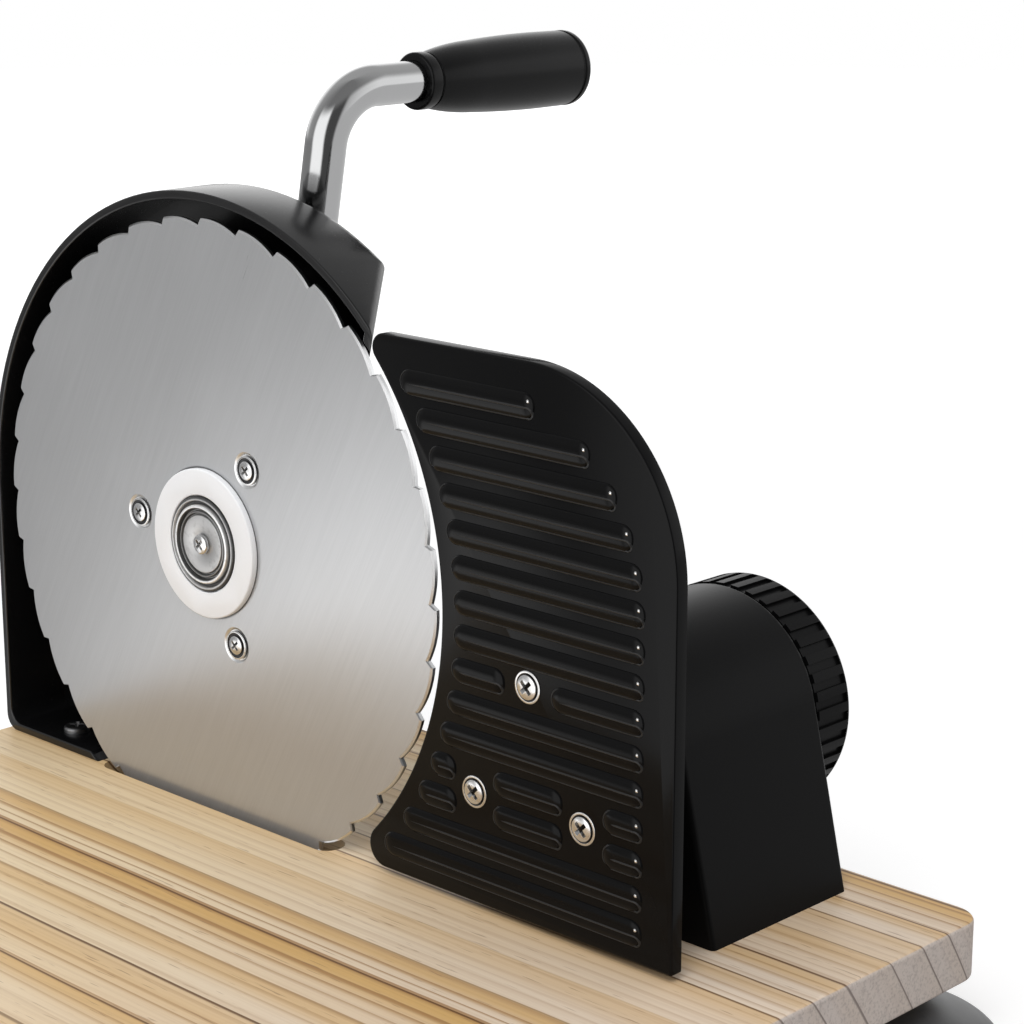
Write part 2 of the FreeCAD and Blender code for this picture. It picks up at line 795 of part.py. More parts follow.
def make_hood():
    """Hood, back plate and foot in one moulding, open at the front and cut on a slant."""
    radius = "hood_radius"
    end_x, end_z = on_ring(radius, "hood_end")
    corner = "hood_corner"
    base = BOARD_TOP
    body = new_body("hood_shell")
    front_view = Outline(body, "XZ", "-hood_front").path(
        (f"-{radius}", f"{base} + {corner}"), (f"-{radius} + {corner}", base, corner, "left"),
        (end_x, base), (end_x, end_z), ("0", radius, radius, "left"),
        (f"-{radius}", "0", radius, "left"))
    pad(front_view, "hood_front + hood_back")
    back = number("hood_back")
    round_edges(body, "hood_round", lambda edge: lies_at(edge, "y", back)
                and not lies_at(edge, "z", number(base)))
    shell = rounded_end(slanted("hood_outer", body, "wall_reach"))

    wall = "hood_wall"
    inner = f"({radius} - {wall})"
    room = new_body("hood_room")
    in_x, in_z = on_ring(inner, "hood_end")
    inside = Outline(room, "XZ", "-hood_front").path(
        (f"-{inner}", f"{base} + {wall} + {corner}"),
        (f"{corner} - {inner}", f"{base} + {wall}", corner, "left"),
        (in_x, f"{base} + {wall}"), (in_x, in_z), ("0", inner, inner, "left"),
        (f"-{inner}", "0", inner, "left"))
    pad(inside, f"hood_front + {PLATE_FRONT}")
    hollow = slanted("hood_inner", room, f"wall_reach - {wall} * sqrt(2)")
    opened = minus("hood_opened", shell, hollow)

    swing = new_body("blade_room")
    pad(Outline(swing, "XZ", "-hood_front - overrun").circle("0", "0", "blade_radius + blade_rim_gap"),
        "hood_front + overrun + blade_thickness + blade_side_gap")
    slot = new_body("slot_room")
    half = "(slot_length / 2 + slot_side_room)"
    pad(Outline(slot, "XZ", "-hood_front - overrun").path(
        (f"-{half}", f"{base} - overrun"), (half, f"{base} - overrun"),
        (half, f"{base} + slot_head_room"), (f"-{half}", f"{base} + slot_head_room")),
        "hood_front + overrun + slot_back")
    chamber = new_body("gear_chamber")
    depth = f"hood_back - overrun - {COVER_BACK}"
    pad(keyhole(Outline(chamber, "XZ", COVER_BACK), f"({CHAMBER_LOW} + chamber_wall)",
                f"({CHAMBER_TOP} + chamber_wall)"), depth)
    lugs = Outline(chamber, "XZ", COVER_BACK)
    for x, z in LUG_SPOTS:
        lugs.circle(x, z, "lug_radius")
    pad(lugs, depth)
    pocket(keyhole(Outline(chamber, "XZ", COVER_BACK), CHAMBER_LOW, CHAMBER_TOP),
           f"{PLATE_FRONT} - {COVER_BACK}")
    holes = Outline(chamber, "XZ", COVER_BACK)
    for x, z in LUG_SPOTS:
        holes.circle(x, z, "cover_screw_radius")
    pocket(holes, "cover_screw_length")
    place(chamber, turn="gear_lean")

    foot = new_body("hood_foot")
    foot_front = f"({PLATE_FRONT} + overrun / 2)"
    gusset_back = "(hood_back + foot_depth - gusset_inset)"
    pad(Outline(foot, "XY", base).path(
        (FOOT_LEFT, foot_front), ("-foot_right", foot_front),
        ("-foot_right", "hood_back + foot_depth"), (FOOT_LEFT, "hood_back + foot_depth")),
        "foot_thickness")
    for side in ("-1", "1"):
        middle = f"({FOOT_LEFT} - foot_right) / 2 + {side} * gusset_spread / 2"
        pad(Outline(foot, "YZ", f"{middle} - gusset_thickness / 2").path(
            (foot_front, base), (gusset_back, base),
            (gusset_back, f"{base} + foot_thickness + overrun"),
            (foot_front, f"{base} + foot_thickness + gusset_height")), "gusset_thickness")

    boss = new_body("crank_boss_seat")
    bush_front = f"({HUB_BACK} + gear_gap)"
    bush_back = f"({BOSS_FRONT} - end_gap)"
    pad(Outline(boss, "XZ", bush_front).circle(CRANK_X, CRANK_Z, "hood_boss_radius"),
        f"{bush_back} - {bush_front}")
    stud = new_body("axle_boss")
    pad(Outline(stud, "XZ", bush_front).circle("0", "0", "hood_boss_radius"),
        f"hood_back - {bush_front}")

    bores = new_body("hood_bores")
    bore = Outline(bores, "XZ", "0").circle("0", "0", "axle_radius")
    bore.circle(CRANK_X, CRANK_Z, BUSH_RADIUS)
    pad(bore, "arm_plane")
    drills = new_body("hood_drills")
    drill = Outline(drills, "XY", f"{base} - overrun")
    for x, y, _ in HOOD_SPOTS:
        drill.circle(x, y, "hood_screw_radius")
    pad(drill, "foot_thickness + 2 * overrun")

    inner_work = join("hood_works", [opened_for_blade(opened, swing, slot), chamber, foot, boss,
                                     stud])
    whole = minus("hood_bored", inner_work, bores)
    whole = minus("gear_housing", whole, drills)
    at_blade(keep("gear_housing", whole))
    spots = [blade_spot(*spot) for spot in HOOD_SPOTS]
    screws("housing_screws", spots, DOWN, "hood_screw_head", "hood_screw_rise",
           "hood_screw_radius", "hood_screw_bite + hood_wall")


def rounded_end(shell):
    """Round the edges that the slanted cut left on the hood's top and back."""
    normal = slant().multVec(Vector(1, 0, 0))
    reach = normal.x * number("wall_reach")
    front, floor = number("-hood_front"), number(BOARD_TOP)
    picked = []
    for index, edge in enumerate(shell.Shape.Edges, 1):
        middle = edge.valueAt((edge.FirstParameter + edge.LastParameter) / 2)
        spots = [vertex.Point for vertex in edge.Vertexes] + [middle]
        on_cut = all(abs(normal.dot(spot) - reach) < NEAR for spot in spots)
        if on_cut and not lies_at(edge, "y", front) and not lies_at(edge, "z", floor):
            picked.append((index, number("hood_end_round"), number("hood_end_round")))
    fillet = doc.addObject("Part::Fillet", "hood_rounded")
    fillet.Base = shell
    fillet.Edges = picked
    doc.recompute()
    return fillet


def slant():
    """Rotation of the wall that leads the slices away behind the blade."""
    yaw = Rotation(Vector(0, 0, 1), number("wall_yaw"))
    return yaw * Rotation(Vector(0, 1, 0), number("wall_lean"))


def opened_for_blade(shell, swing, slot):
    """Clear the blade's swing and the board's slot out of the hood."""
    return minus("hood_slotted", minus("hood_cleared", shell, swing), slot)


def slanted(name, body, reach):
    """Cut a body on the slanted wall that leads the slices away behind the blade."""
    block = doc.addObject("Part::Box", name + "_block")
    block.Length = CUT_BLOCK
    block.Width = CUT_BLOCK
    block.Height = CUT_BLOCK
    corner = slant().multVec(Vector(0, -CUT_BLOCK / 2, -CUT_BLOCK / 2))
    place(block, f"{reach} + {corner.x}", f"{corner.y}", f"{corner.z}", slant())
    return minus(name, body, block)


def minus(name, base, tool):
    """Cut one object out of another."""
    cut = doc.addObject("Part::Cut", name)
    cut.Base = base
    cut.Tool = tool
    doc.recompute()
    if not cut.Shape.Volume < base.Shape.Volume:
        raise RuntimeError(f"{name}: the tool cut nothing")
    return cut


def join(name, things):
    """Fuse several objects into one."""
    fused = doc.addObject("Part::MultiFuse", name)
    fused.Shapes = things
    fused.Refine = True
    doc.recompute()
    return fused


def make_cover():
    """Cover of the gear chamber, with the front bearing of the crank shaft."""
    body = new_body("gear_cover")
    pad(keyhole(Outline(body, "XZ", COVER_FRONT), f"({CHAMBER_LOW} + chamber_wall)",
                f"({CHAMBER_TOP} + chamber_wall)"), "cover_thickness")
    ears = Outline(body, "XZ", COVER_FRONT)
    for x, z in LUG_SPOTS:
        ears.circle(x, z, "lug_radius")
    pad(ears, "cover_thickness")
    pad(Outline(body, "XZ", f"{COVER_FRONT} - cover_boss_rise").circle(
        "0", CENTRES, "cover_boss_radius"), "cover_boss_rise + cover_thickness / 2")
    holes = Outline(body, "XZ", f"{COVER_FRONT} - cover_boss_rise")
    holes.circle("0", CENTRES, "journal_radius + running_gap")
    holes.circle("0", "0", "neck_radius + cover_hole_gap")
    for x, z in LUG_SPOTS:
        holes.circle(x, z, "cover_screw_radius")
    pocket(holes, "cover_boss_rise + cover_thickness")
    at_blade(keep("gear_cover", body), turn="gear_lean")
    spots = [blade_spot(f"{x} * cos(gear_lean) + {z} * sin(gear_lean)", COVER_FRONT,
                        f"{z} * cos(gear_lean) - {x} * sin(gear_lean)") for x, z in LUG_SPOTS]
    screws("cover_screws", spots, INTO_BACK, "cover_screw_head", "cover_screw_rise",
           "cover_screw_radius", "cover_thickness + cover_screw_length - end_gap")


def make_crank():
    """Crank gear, shaft, bush, boss, nut and the bent rod."""
    count = SIZES["wheel_teeth"]
    face = gear_face(count, 270 - number("gear_lean") + 180 / count)
    face.translate(Vector(0, number("gear_plane"), 0))
    wheel = face.extrude(Vector(0, number("gear_width"), 0))
    bottom = "(gear_plane + dish_depth)"
    dish = disc("gear_plane", bottom, "gear_module * wheel_teeth / 2 - dish_rim")
    core = disc("gear_plane", bottom, "shaft_radius + dish_core")
    wheel = wheel.cut(dish.cut(core)).cut(disc("gear_plane", HUB_BACK, "shaft_radius"))
    piece = doc.addObject("Part::Feature", "crank_gear")
    piece.Shape = wheel
    at_blade(keep("crank_gear", piece), CRANK_X, "0", CRANK_Z)

    tip = f"({COVER_FRONT} - cover_boss_rise - shaft_tip)"
    end = f"({BOSS_BACK} + nut_length)"
    at_blade(turned_piece(
        "crank_shaft", (tip, "0"), (tip, "journal_radius"), ("gear_plane", "journal_radius"),
        ("gear_plane", "shaft_radius"), (BOSS_BACK, "shaft_radius"),
        (BOSS_BACK, "journal_radius"), (end, "journal_radius"), (end, "0")),
        CRANK_X, "0", CRANK_Z)
    at_blade(tube_piece("shaft_clip", "gear_plane - clip_thickness", "gear_plane", "clip_radius",
                        "journal_radius"), CRANK_X, "0", CRANK_Z)
    at_blade(tube_piece("crank_bush", f"{HUB_BACK} + gear_gap", f"{BOSS_FRONT} - end_gap",
                        BUSH_RADIUS, "shaft_radius + running_gap"), CRANK_X, "0", CRANK_Z)

    body = new_body("crank_boss")
    pad(Outline(body, "XZ", BOSS_FRONT).path(
        ("rod_radius", BOSS_FLAT, "boss_radius", "left"), ("-rod_radius", BOSS_FLAT),
        ("0", "-boss_radius", "boss_radius", "left")), "boss_length")
    ends = number(BOSS_FRONT), number(BOSS_BACK)
    round_edges(body, "boss_round", lambda edge: any(lies_at(edge, "y", one) for one in ends))
    pocket(Outline(body, "XZ", BOSS_FRONT).circle("0", "0", "shaft_radius"), "boss_length")
    pocket(Outline(body, "XY", "tenon_start").circle("0", "arm_plane", "tenon_radius"),
           "boss_radius")
    at_blade(keep("crank_boss", body), CRANK_X, "0", CRANK_Z, "arm_lean")

    nut = new_body("crank_nut")
    flat = "(nut_size / sqrt(3))"
    corners = [on_ring(flat, f"{60 * index}") for index in range(6)]
    pad(Outline(nut, "XZ", BOSS_BACK).path(*corners), "nut_length")
    dome = f"({BOSS_BACK} + nut_length)"
    wide = "(nut_size / 2 - nut_dome_inset)"
    swell = f"((pow({wide}; 2) + pow(nut_dome; 2)) / (2 * nut_dome))"
    revolve(Outline(nut, "YZ").path(
        (f"{dome} - overrun", "0"), (f"{dome} + nut_dome", "0"), (dome, wide, swell, "left"),
        (f"{dome} - overrun", wide)), "H_Axis")
    pocket(Outline(nut, "XZ", BOSS_BACK).circle("0", "0", "journal_radius"), "nut_length")
    at_blade(keep("crank_nut", nut), CRANK_X, "0", CRANK_Z)
    make_arm()


def make_arm():
    """Chromed rod: out of the boss, up, and round a bend to the grip."""
    body = new_body("crank_arm")
    path = body.newObject("Sketcher::SketchObject", "Sketch")
    face = next(item for item in body.Origin.OriginFeatures if item.Role == "YZ_Plane")
    path.AttachmentSupport = (face, [""])
    path.MapMode = "FlatFace"
    plane, top, turn = number("arm_plane"), number("crank_radius"), number("rod_bend")
    spots = [Vector(plane, number(BOSS_FLAT)), Vector(plane, top - turn), Vector(plane + turn, top),
             Vector(number("rod_end"), top)]
    bend, starts = arc(spots[1], spots[2], turn, "right")
    path.addGeometry(Part.LineSegment(spots[0], spots[1]))
    path.addGeometry(bend)
    path.addGeometry(Part.LineSegment(spots[2], spots[3]))
    rules = [("DistanceX", "arm_plane", 0, 1), ("DistanceY", BOSS_FLAT, 0, 1),
             ("DistanceX", "rod_end", 2, 2), ("DistanceY", "crank_radius", 2, 2)]
    for kind, text, edge, end in rules:
        index = path.addConstraint(Sketcher.Constraint(kind, -1, 1, edge, end, number(text)))
        bind(path, f"Constraints[{index}]", text)
    path.addConstraint(Sketcher.Constraint("Vertical", 0))
    path.addConstraint(Sketcher.Constraint("Horizontal", 2))
    path.addConstraint(Sketcher.Constraint("Tangent", 0, 2, 1, 2))
    path.addConstraint(Sketcher.Constraint("Tangent", 1, 1, 2, 1))
    index = path.addConstraint(Sketcher.Constraint("Radius", 1, turn))
    bind(path, f"Constraints[{index}]", "rod_bend")
    tenon = Outline(body, "XY", "tenon_start").circle("0", "arm_plane", "tenon_radius")
    pad(tenon, f"{BOSS_FLAT} - tenon_start")
    ring = Outline(body, "XY", BOSS_FLAT).circle("0", "arm_plane", "rod_radius")
    pipe = body.newObject("PartDesign::AdditivePipe", "Pipe")
    pipe.Profile = ring.settle()
    pipe.Spine = (path, ["Edge1", "Edge2", "Edge3"])
    doc.recompute()
    at_blade(keep("crank_arm", body), CRANK_X, "0", CRANK_Z, "arm_lean")


# Where the grip's axis lies in the blade frame
GRIP_X = f"({CRANK_X} + crank_radius * sin(arm_lean))"
GRIP_Z = f"({CRANK_Z} + crank_radius * cos(arm_lean))"
GRIP_END = "(grip_start + grip_length)"
POCKET_START = f"({GRIP_END} - grip_pocket_depth)"


def make_grip():
    """Black grip that turns on the rod, the clip that holds it and its end plug."""
    bore = "(rod_radius + running_gap)"
    lead = "(grip_start + grip_collar_length)"
    near, far = "(grip_start + grip_waist_at)", "(grip_start + grip_swell_at)"
    shoulder = f"({GRIP_END} - grip_round)"
    at_blade(turned_piece(
        "grip", ("grip_start", bore), ("grip_start", "grip_collar - grip_collar_edge"),
        ("grip_start + grip_collar_edge", "grip_collar"), (lead, "grip_collar"),
        (f"{lead} + grip_collar_step", "grip_neck"),
        (near, "grip_waist", "grip_waist_curve", "right"),
        (far, "grip_swell", "grip_swell_curve", "right"),
        (shoulder, "grip_swell", "grip_shoulder_curve", "right"),
        (GRIP_END, "grip_swell - grip_round + grip_end_lift", "grip_round", "right"),
        (GRIP_END, "grip_pocket_radius"), (POCKET_START, "grip_pocket_radius"),
        (POCKET_START, bore)),
        GRIP_X, "0", GRIP_Z)
    at_blade(turned_piece(
        "grip_plug", (f"{GRIP_END} - grip_plug_length", "0"), (GRIP_END, "0"),
        (GRIP_END, "grip_pocket_radius"),
        (f"{GRIP_END} - grip_plug_length", "grip_pocket_radius")),
        GRIP_X, "0", GRIP_Z)
    clip = f"({POCKET_START} + end_gap)"
    at_blade(tube_piece("grip_clip", clip, f"{clip} + clip_thickness", "grip_clip_radius",
                        "rod_radius"), GRIP_X, "0", GRIP_Z)


def rib_runs(level):
    """Give the stretches of a rib at one level, split where a screw stands in its way."""
    left = f"sqrt(pow({FENCE_INNER} + rib_left; 2) - pow({level}; 2))"
    centre_x, centre_z = "(fence_right - fence_corner)", "(fence_top - fence_corner)"
    right = "(fence_right - rib_right)"
    if number(level) > number(centre_z):
        right = (f"({centre_x} + sqrt(pow(fence_corner - rib_right; 2)"
                 f" - pow({level} - {centre_z}; 2)))")
    runs = [[left, right]]
    for x, z in FENCE_SPOTS:
        aside = f"({level} - fence_axis_z - ({z}))"
        if abs(number(aside)) >= number("rib_screw_gap"):
            continue
        reach = f"sqrt(pow(rib_screw_gap; 2) - pow({aside}; 2))"
        spot = f"(fence_axis_x + {x})"
        for index, (start, end) in enumerate(runs):
            if number(start) < number(spot) < number(end):
                runs[index:index + 1] = [[start, f"({spot} - {reach})"],
                                         [f"({spot} + {reach})", end]]
                break
    return [run for run in runs if number(run[1]) - number(run[0]) > number("rib_width")]


def make_fence():
    """Black plate that the loaf leans on: hollowed beside the blade, with pressed ribs."""
    body = new_body("fence_plate")
    inner, low, top = FENCE_INNER, FENCE_LOW, "fence_top"
    right, big = "fence_right", "fence_corner"
    small, wide = "fence_left_top", "fence_left_low"
    high_x = f"sqrt(pow({inner} + {small}; 2) - pow({top} - {small}; 2))"
    low_x = f"sqrt(pow({inner} + {wide}; 2) - pow({low} + {wide}; 2))"
    high_share = f"({inner} / ({inner} + {small}))"
    low_share = f"({inner} / ({inner} + {wide}))"
    outline = Outline(body, "XZ").path(
        (low_x, low, wide, "left"), (right, low), (right, f"{top} - {big}"),
        (f"{right} - {big}", top, big, "left"), (high_x, top),
        (f"{high_x} * {high_share}", f"({top} - {small}) * {high_share}", small, "left"),
        (inner, "0", inner, "right"),
        (f"{low_x} * {low_share}", f"({low} + {wide}) * {low_share}", inner, "right"))
    pad(outline, "fence_thickness")
    half = "(rib_width / 2)"
    for index in range(SIZES["rib_count"]):
        level = f"(rib_first - {index} * rib_pitch)"
        for start, end in rib_runs(level):
            rib = Outline(body, "XZ").path(
                (f"{start} + {half}", f"{level} - {half}", half, "left"),
                (f"{end} - {half}", f"{level} - {half}"), (end, level, half, "left"),
                (f"{end} - {half}", f"{level} + {half}", half, "left"),
                (f"{start} + {half}", f"{level} + {half}"), (start, level, half, "left"))
            pad(rib, "rib_height", taper="rib_slope", back=True)
    holes = Outline(body, "XZ")
    for x, z in FENCE_SPOTS:
        holes.circle(f"fence_axis_x + {x}", f"fence_axis_z + {z}", "fence_screw_radius")
    pocket(holes, "fence_thickness")
    at_blade(keep("fence_plate", body), "0", "-fence_lead")
    spots = [blade_spot(f"fence_axis_x + {x}", "-fence_lead", f"fence_axis_z + {z}")
             for x, z in FENCE_SPOTS]
    screws("fence_screws", spots, INTO_BACK, "fence_screw_head", "fence_screw_rise",
           "fence_screw_radius", "fence_thickness + fence_screw_bite")


def at_fence(thing):
    """Put a part built about its own Y axis on the axis of the barrel and the knob."""
    return at_blade(thing, "fence_axis_x", "0", "fence_axis_z")


def make_barrel():
    """Barrel that carries the fence, with its nut, and the key that keeps it from turning."""
    front = "(fence_thickness - fence_lead)"
    face = f"({front} + barrel_face)"
    wall = "(barrel_radius - barrel_wall)"
    body = new_body("fence_barrel")
    revolve(Outline(body, "YZ").path(
        (front, "nut_radius - nut_shoulder"), (front, "barrel_radius"), ("barrel_end", "barrel_radius"),
        ("barrel_end", wall), (face, wall), (face, "barrel_post_radius"),
        ("nut_end", "barrel_post_radius"), ("nut_end", "nut_radius"), ("nut_start", "nut_radius"),
        ("nut_start", "nut_radius - nut_shoulder")), "H_Axis")
    holes = Outline(body, "XZ", front)
    for x, z in FENCE_SPOTS:
        holes.circle(x, z, "fence_screw_radius")
    pocket(holes, "fence_screw_bite")
    half = "groove_width / 2"
    deep, out = "(-barrel_radius + groove_depth)", "(-barrel_radius - overrun)"
    groove = Outline(body, "XZ", f"{face} + overrun").path(
        (f"-{half}", out), (half, out), (half, deep), (f"-{half}", deep))
    pocket(groove, f"barrel_end - {face} - overrun")
    at_fence(keep("fence_barrel", body))
    at_fence(tube_piece("feed_nut", "nut_start", "nut_end", "nut_radius",
                        "spindle_radius + running_gap"))
    key = new_body("guide_key")
    wide = "key_width / 2"
    tip = f"({deep} - key_gap)"
    root = "(-barrel_radius - slide_gap - sleeve_wall)"
    pad(Outline(key, "XZ", "stand_front + key_inset").path(
        (f"-{wide}", root), (wide, root), (wide, tip), (f"-{wide}", tip)), "key_length")
    at_fence(keep("guide_key", key))


def arch(outline, radius, half, low):
    """Draw an arch: round on top, its sides falling outwards to the foot."""
    span = f"sqrt(pow({half}; 2) + pow({low}; 2))"
    turn = f"(atan({half} / (-({low}))) - asin({radius} / {span}))"
    side_x, side_z = f"({radius} * cos({turn}))", f"({radius} * sin({turn}))"
    return outline.path(
        (f"-{half}", low), (half, low), (side_x, side_z), ("0", radius, radius, "left"),
        (f"-{side_x}", side_z, radius, "left"))


def make_stand():
    """Arched stand on the board with the barrel's sleeve, the spindle's bush and the screws."""
    body = new_body("fence_stand")
    low = "(-axis_over_board - fence_axis_z)"
    wall = "stand_wall"
    pad(arch(Outline(body, "XZ", "stand_front"), "stand_radius", "stand_foot_half", low),
        "stand_back - stand_front")
    ends = number("stand_front"), number("stand_back")
    floor = number(low)
    round_edges(body, "stand_round", lambda edge: any(lies_at(edge, "y", one) for one in ends)
                and not lies_at(edge, "z", floor))
    pocket(arch(Outline(body, "XZ", f"stand_front + {wall}"), f"(stand_radius - {wall})",
                f"(stand_foot_half - {wall})", low), f"stand_back - stand_front - 2 * {wall}")
    sleeve = "(barrel_radius + slide_gap + sleeve_wall)"
    pad(Outline(body, "XZ", "stand_front + overrun").circle("0", "0", sleeve),
        "sleeve_length - overrun")
    pad(Outline(body, "XZ", "stand_back - stand_boss_depth").circle(
        "0", "0", "stand_boss_radius"), "stand_boss_depth - overrun")
    posts = Outline(body, "XY", low)
    for x, y in POST_SPOTS:
        posts.circle(f"{x} - fence_axis_x", y, "post_radius")
    pad(posts, "post_height")
    pocket(Outline(body, "XZ", "stand_front").circle("0", "0", "barrel_radius + slide_gap"),
           "sleeve_length")
    pocket(Outline(body, "XZ", "stand_back - stand_boss_depth").circle(
        "0", "0", "spindle_radius + bush_wall"), "stand_boss_depth")
    half = "key_width / 2"
    deep = f"-{sleeve}"
    pocket(Outline(body, "XZ", "stand_front + key_inset").path(
        (f"-{half}", deep), (half, deep), (half, "-barrel_radius + overrun"),
        (f"-{half}", "-barrel_radius + overrun")), "key_length")
    drills = Outline(body, "XY", low)
    for x, y in POST_SPOTS:
        drills.circle(f"{x} - fence_axis_x", y, "stand_screw_radius")
    pocket(drills, "post_height - post_cap")
    at_fence(keep("fence_stand", body))
    head = "(foot_height + stand_screw_rise + well_room)"
    spots = [floor_spot(x, y, head) for x, y in POST_SPOTS]
    screws("stand_screws", spots, UP, "stand_screw_head", "stand_screw_rise",
           "stand_screw_radius", "stand_screw_length")
    at_fence(tube_piece("stand_bush", "stand_back - stand_boss_depth", "stand_back",
                        "spindle_radius + bush_wall", "spindle_radius + running_gap"))


def make_knob():
    """Thickness knob with its ribbed rim, the feed spindle, its clip and the knob's screw."""
    rim = "(knob_radius - knob_rim)"
    web = f"({KNOB_SEAT} - knob_web)"
    body = new_body("thickness_knob")
    turn = "knob_round"
    revolve(Outline(body, "YZ").path(
        (KNOB_FRONT, "spindle_radius"), (KNOB_FRONT, "knob_hub"), (web, "knob_hub"), (web, rim),
        (KNOB_FRONT, rim), (KNOB_FRONT, "knob_radius"), (f"{KNOB_BACK} - {turn}", "knob_radius"),
        (KNOB_BACK, f"knob_radius - {turn}", turn, "right"), (KNOB_BACK, "knob_well_radius"),
        (KNOB_SEAT, "knob_well_radius"), (KNOB_SEAT, "knob_screw_radius"),
        (f"{KNOB_SEAT} - knob_seat", "knob_screw_radius"),
        (f"{KNOB_SEAT} - knob_seat", "spindle_radius")),
        "H_Axis")
    share = "(180 / knob_ribs * knob_rib_share)"
    outer = "(knob_radius + overrun)"
    inner = "(knob_radius - knob_rib_depth)"
    groove = Outline(body, "XZ", KNOB_FRONT).path(
        (f"{inner}", f"-{inner} * tan({share})"), (outer, f"-{outer} * tan({share})"),
        (outer, f"{outer} * tan({share})"), (inner, f"{inner} * tan({share})"))
    cut = pocket(groove, "knob_width - knob_round")
    pattern = body.newObject("PartDesign::PolarPattern", "PolarPattern")
    pattern.Originals = [cut]
    axis = next(item for item in body.Origin.OriginFeatures if item.Role == "Y_Axis")
    pattern.Axis = (axis, [""])
    pattern.Angle = 360
    bind(pattern, "Occurrences", "knob_ribs")
    body.Tip = pattern
    doc.recompute()
    at_fence(keep("thickness_knob", body))

    end = f"({KNOB_SEAT} - knob_seat)"
    bite = f"({end} - knob_screw_bite)"
    clip = "(stand_back - stand_boss_depth - end_gap)"
    groove_front = f"({clip} - clip_thickness)"
    groove_radius = "(spindle_radius - clip_groove)"
    at_fence(turned_piece(
        "feed_spindle", ("spindle_start", "0"),
        ("spindle_start", "spindle_radius - spindle_chamfer"),
        ("spindle_start + spindle_chamfer", "spindle_radius"), (groove_front, "spindle_radius"),
        (groove_front, groove_radius), (clip, groove_radius), (clip, "spindle_radius"),
        (end, "spindle_radius"), (end, "knob_screw_radius"), (bite, "knob_screw_radius"),
        (bite, "0")))
    at_fence(tube_piece("spindle_clip", groove_front, clip, "spindle_clip_radius",
                        groove_radius))
    spots = [blade_spot("fence_axis_x", KNOB_SEAT, "fence_axis_z")]
    screws("knob_screw", spots, INTO_FRONT, "knob_screw_head", "knob_screw_rise",
           "knob_screw_radius", "knob_seat + knob_screw_bite")


def write_pieces():
    """Check the document and every piece, then write one file for each."""
    doc.recompute()
    for item in doc.Objects:
        if {"Invalid", "Error"} & set(item.State):
            raise RuntimeError(f"{item.Label}: {item.State}")
    os.makedirs("parts", exist_ok=True)
    for name, piece in PIECES.items():
        shape = piece.Shape
        if shape.isNull() or not shape.isValid() or not shape.Solids:
            raise RuntimeError(f"{name}: bad shape")
        shape.exportStep(f"parts/{name}.step")
        print(f"{name}: {len(shape.Solids)} solids, {shape.Volume / 1000:.2f} cm3")


make_board()
make_cups()
make_blade()
make_hub()
make_axle()
make_hood()
make_cover()
make_crank()
make_grip()
make_fence()
make_barrel()
make_stand()
make_knob()
write_pieces()
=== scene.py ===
import json
import logging
import math
from dataclasses import dataclass
from enum import Enum
from typing import Any, Callable, Iterable, Sequence

import bmesh
import bpy
from mathutils import Matrix, Vector


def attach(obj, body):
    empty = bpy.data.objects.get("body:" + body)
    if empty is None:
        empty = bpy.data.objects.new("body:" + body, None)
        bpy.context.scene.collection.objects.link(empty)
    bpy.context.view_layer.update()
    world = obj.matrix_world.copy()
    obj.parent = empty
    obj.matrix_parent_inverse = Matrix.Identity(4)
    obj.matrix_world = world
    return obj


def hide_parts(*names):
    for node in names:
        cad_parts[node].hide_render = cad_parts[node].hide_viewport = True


# Hand crank bread slicer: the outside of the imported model, its finishes and its studio. The blade
# frame has its origin in the middle of the blade's front face, +X to the right, +Y to the back and
# +Z up, in millimetres. Blender's objects are in metres in the object's own frame.

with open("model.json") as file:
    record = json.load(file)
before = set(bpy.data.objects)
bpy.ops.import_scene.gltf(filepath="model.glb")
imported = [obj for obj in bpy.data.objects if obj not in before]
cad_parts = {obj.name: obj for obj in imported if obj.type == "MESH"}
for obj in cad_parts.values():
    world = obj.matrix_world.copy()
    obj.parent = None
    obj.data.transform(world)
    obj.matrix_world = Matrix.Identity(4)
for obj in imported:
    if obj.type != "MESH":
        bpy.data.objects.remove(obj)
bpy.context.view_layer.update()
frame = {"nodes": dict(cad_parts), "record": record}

LOG = logging.getLogger("bread_slicer")

MM = 0.001
BLADE_ORIGIN = Vector((-55.0, 12.5, 118.0))
FRONT, BACK = (0.0, -1.0, 0.0), (0.0, 1.0, 0.0)
UP, DOWN = (0.0, 0.0, 1.0), (0.0, 0.0, -1.0)

Colour = tuple[float, float, float]
Point = tuple[float, float, float]
Pair = tuple[float, float]
Ring = Sequence[bmesh.types.BMVert]
Sockets = dict[str, Any]
Value = "Wire | float"


class Body(Enum):
    """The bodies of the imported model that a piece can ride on."""

    ROOT = "root"
    BLADE = "blade_unit"
    CRANK = "crank"
    GRIP = "hand_grip"
    FENCE = "fence"
    KNOB = "knob"


class Slot(Enum):
    """The record's material slots."""

    PINE = "pine"
    RUBBER = "grey_rubber"
    BLADE = "blade_steel"
    SCREW = "screw_steel"
    TURNED = "turned_steel"
    CHROME = "chromed_rod"
    BRASS = "bearing_brass"
    HUB = "white_plastic"
    GLOSS = "gloss_black"
    FENCE = "fence_black"
    SATIN = "satin_black"
    BARREL = "barrel_metal"


def overload(operation: str) -> tuple[Callable[..., "Wire"], Callable[..., "Wire"]]:
    """Give an operator on wires and its reflected form, both as Math nodes."""
    return (lambda one, two: one.maths(operation, one, two),
            lambda one, two: one.maths(operation, two, one))


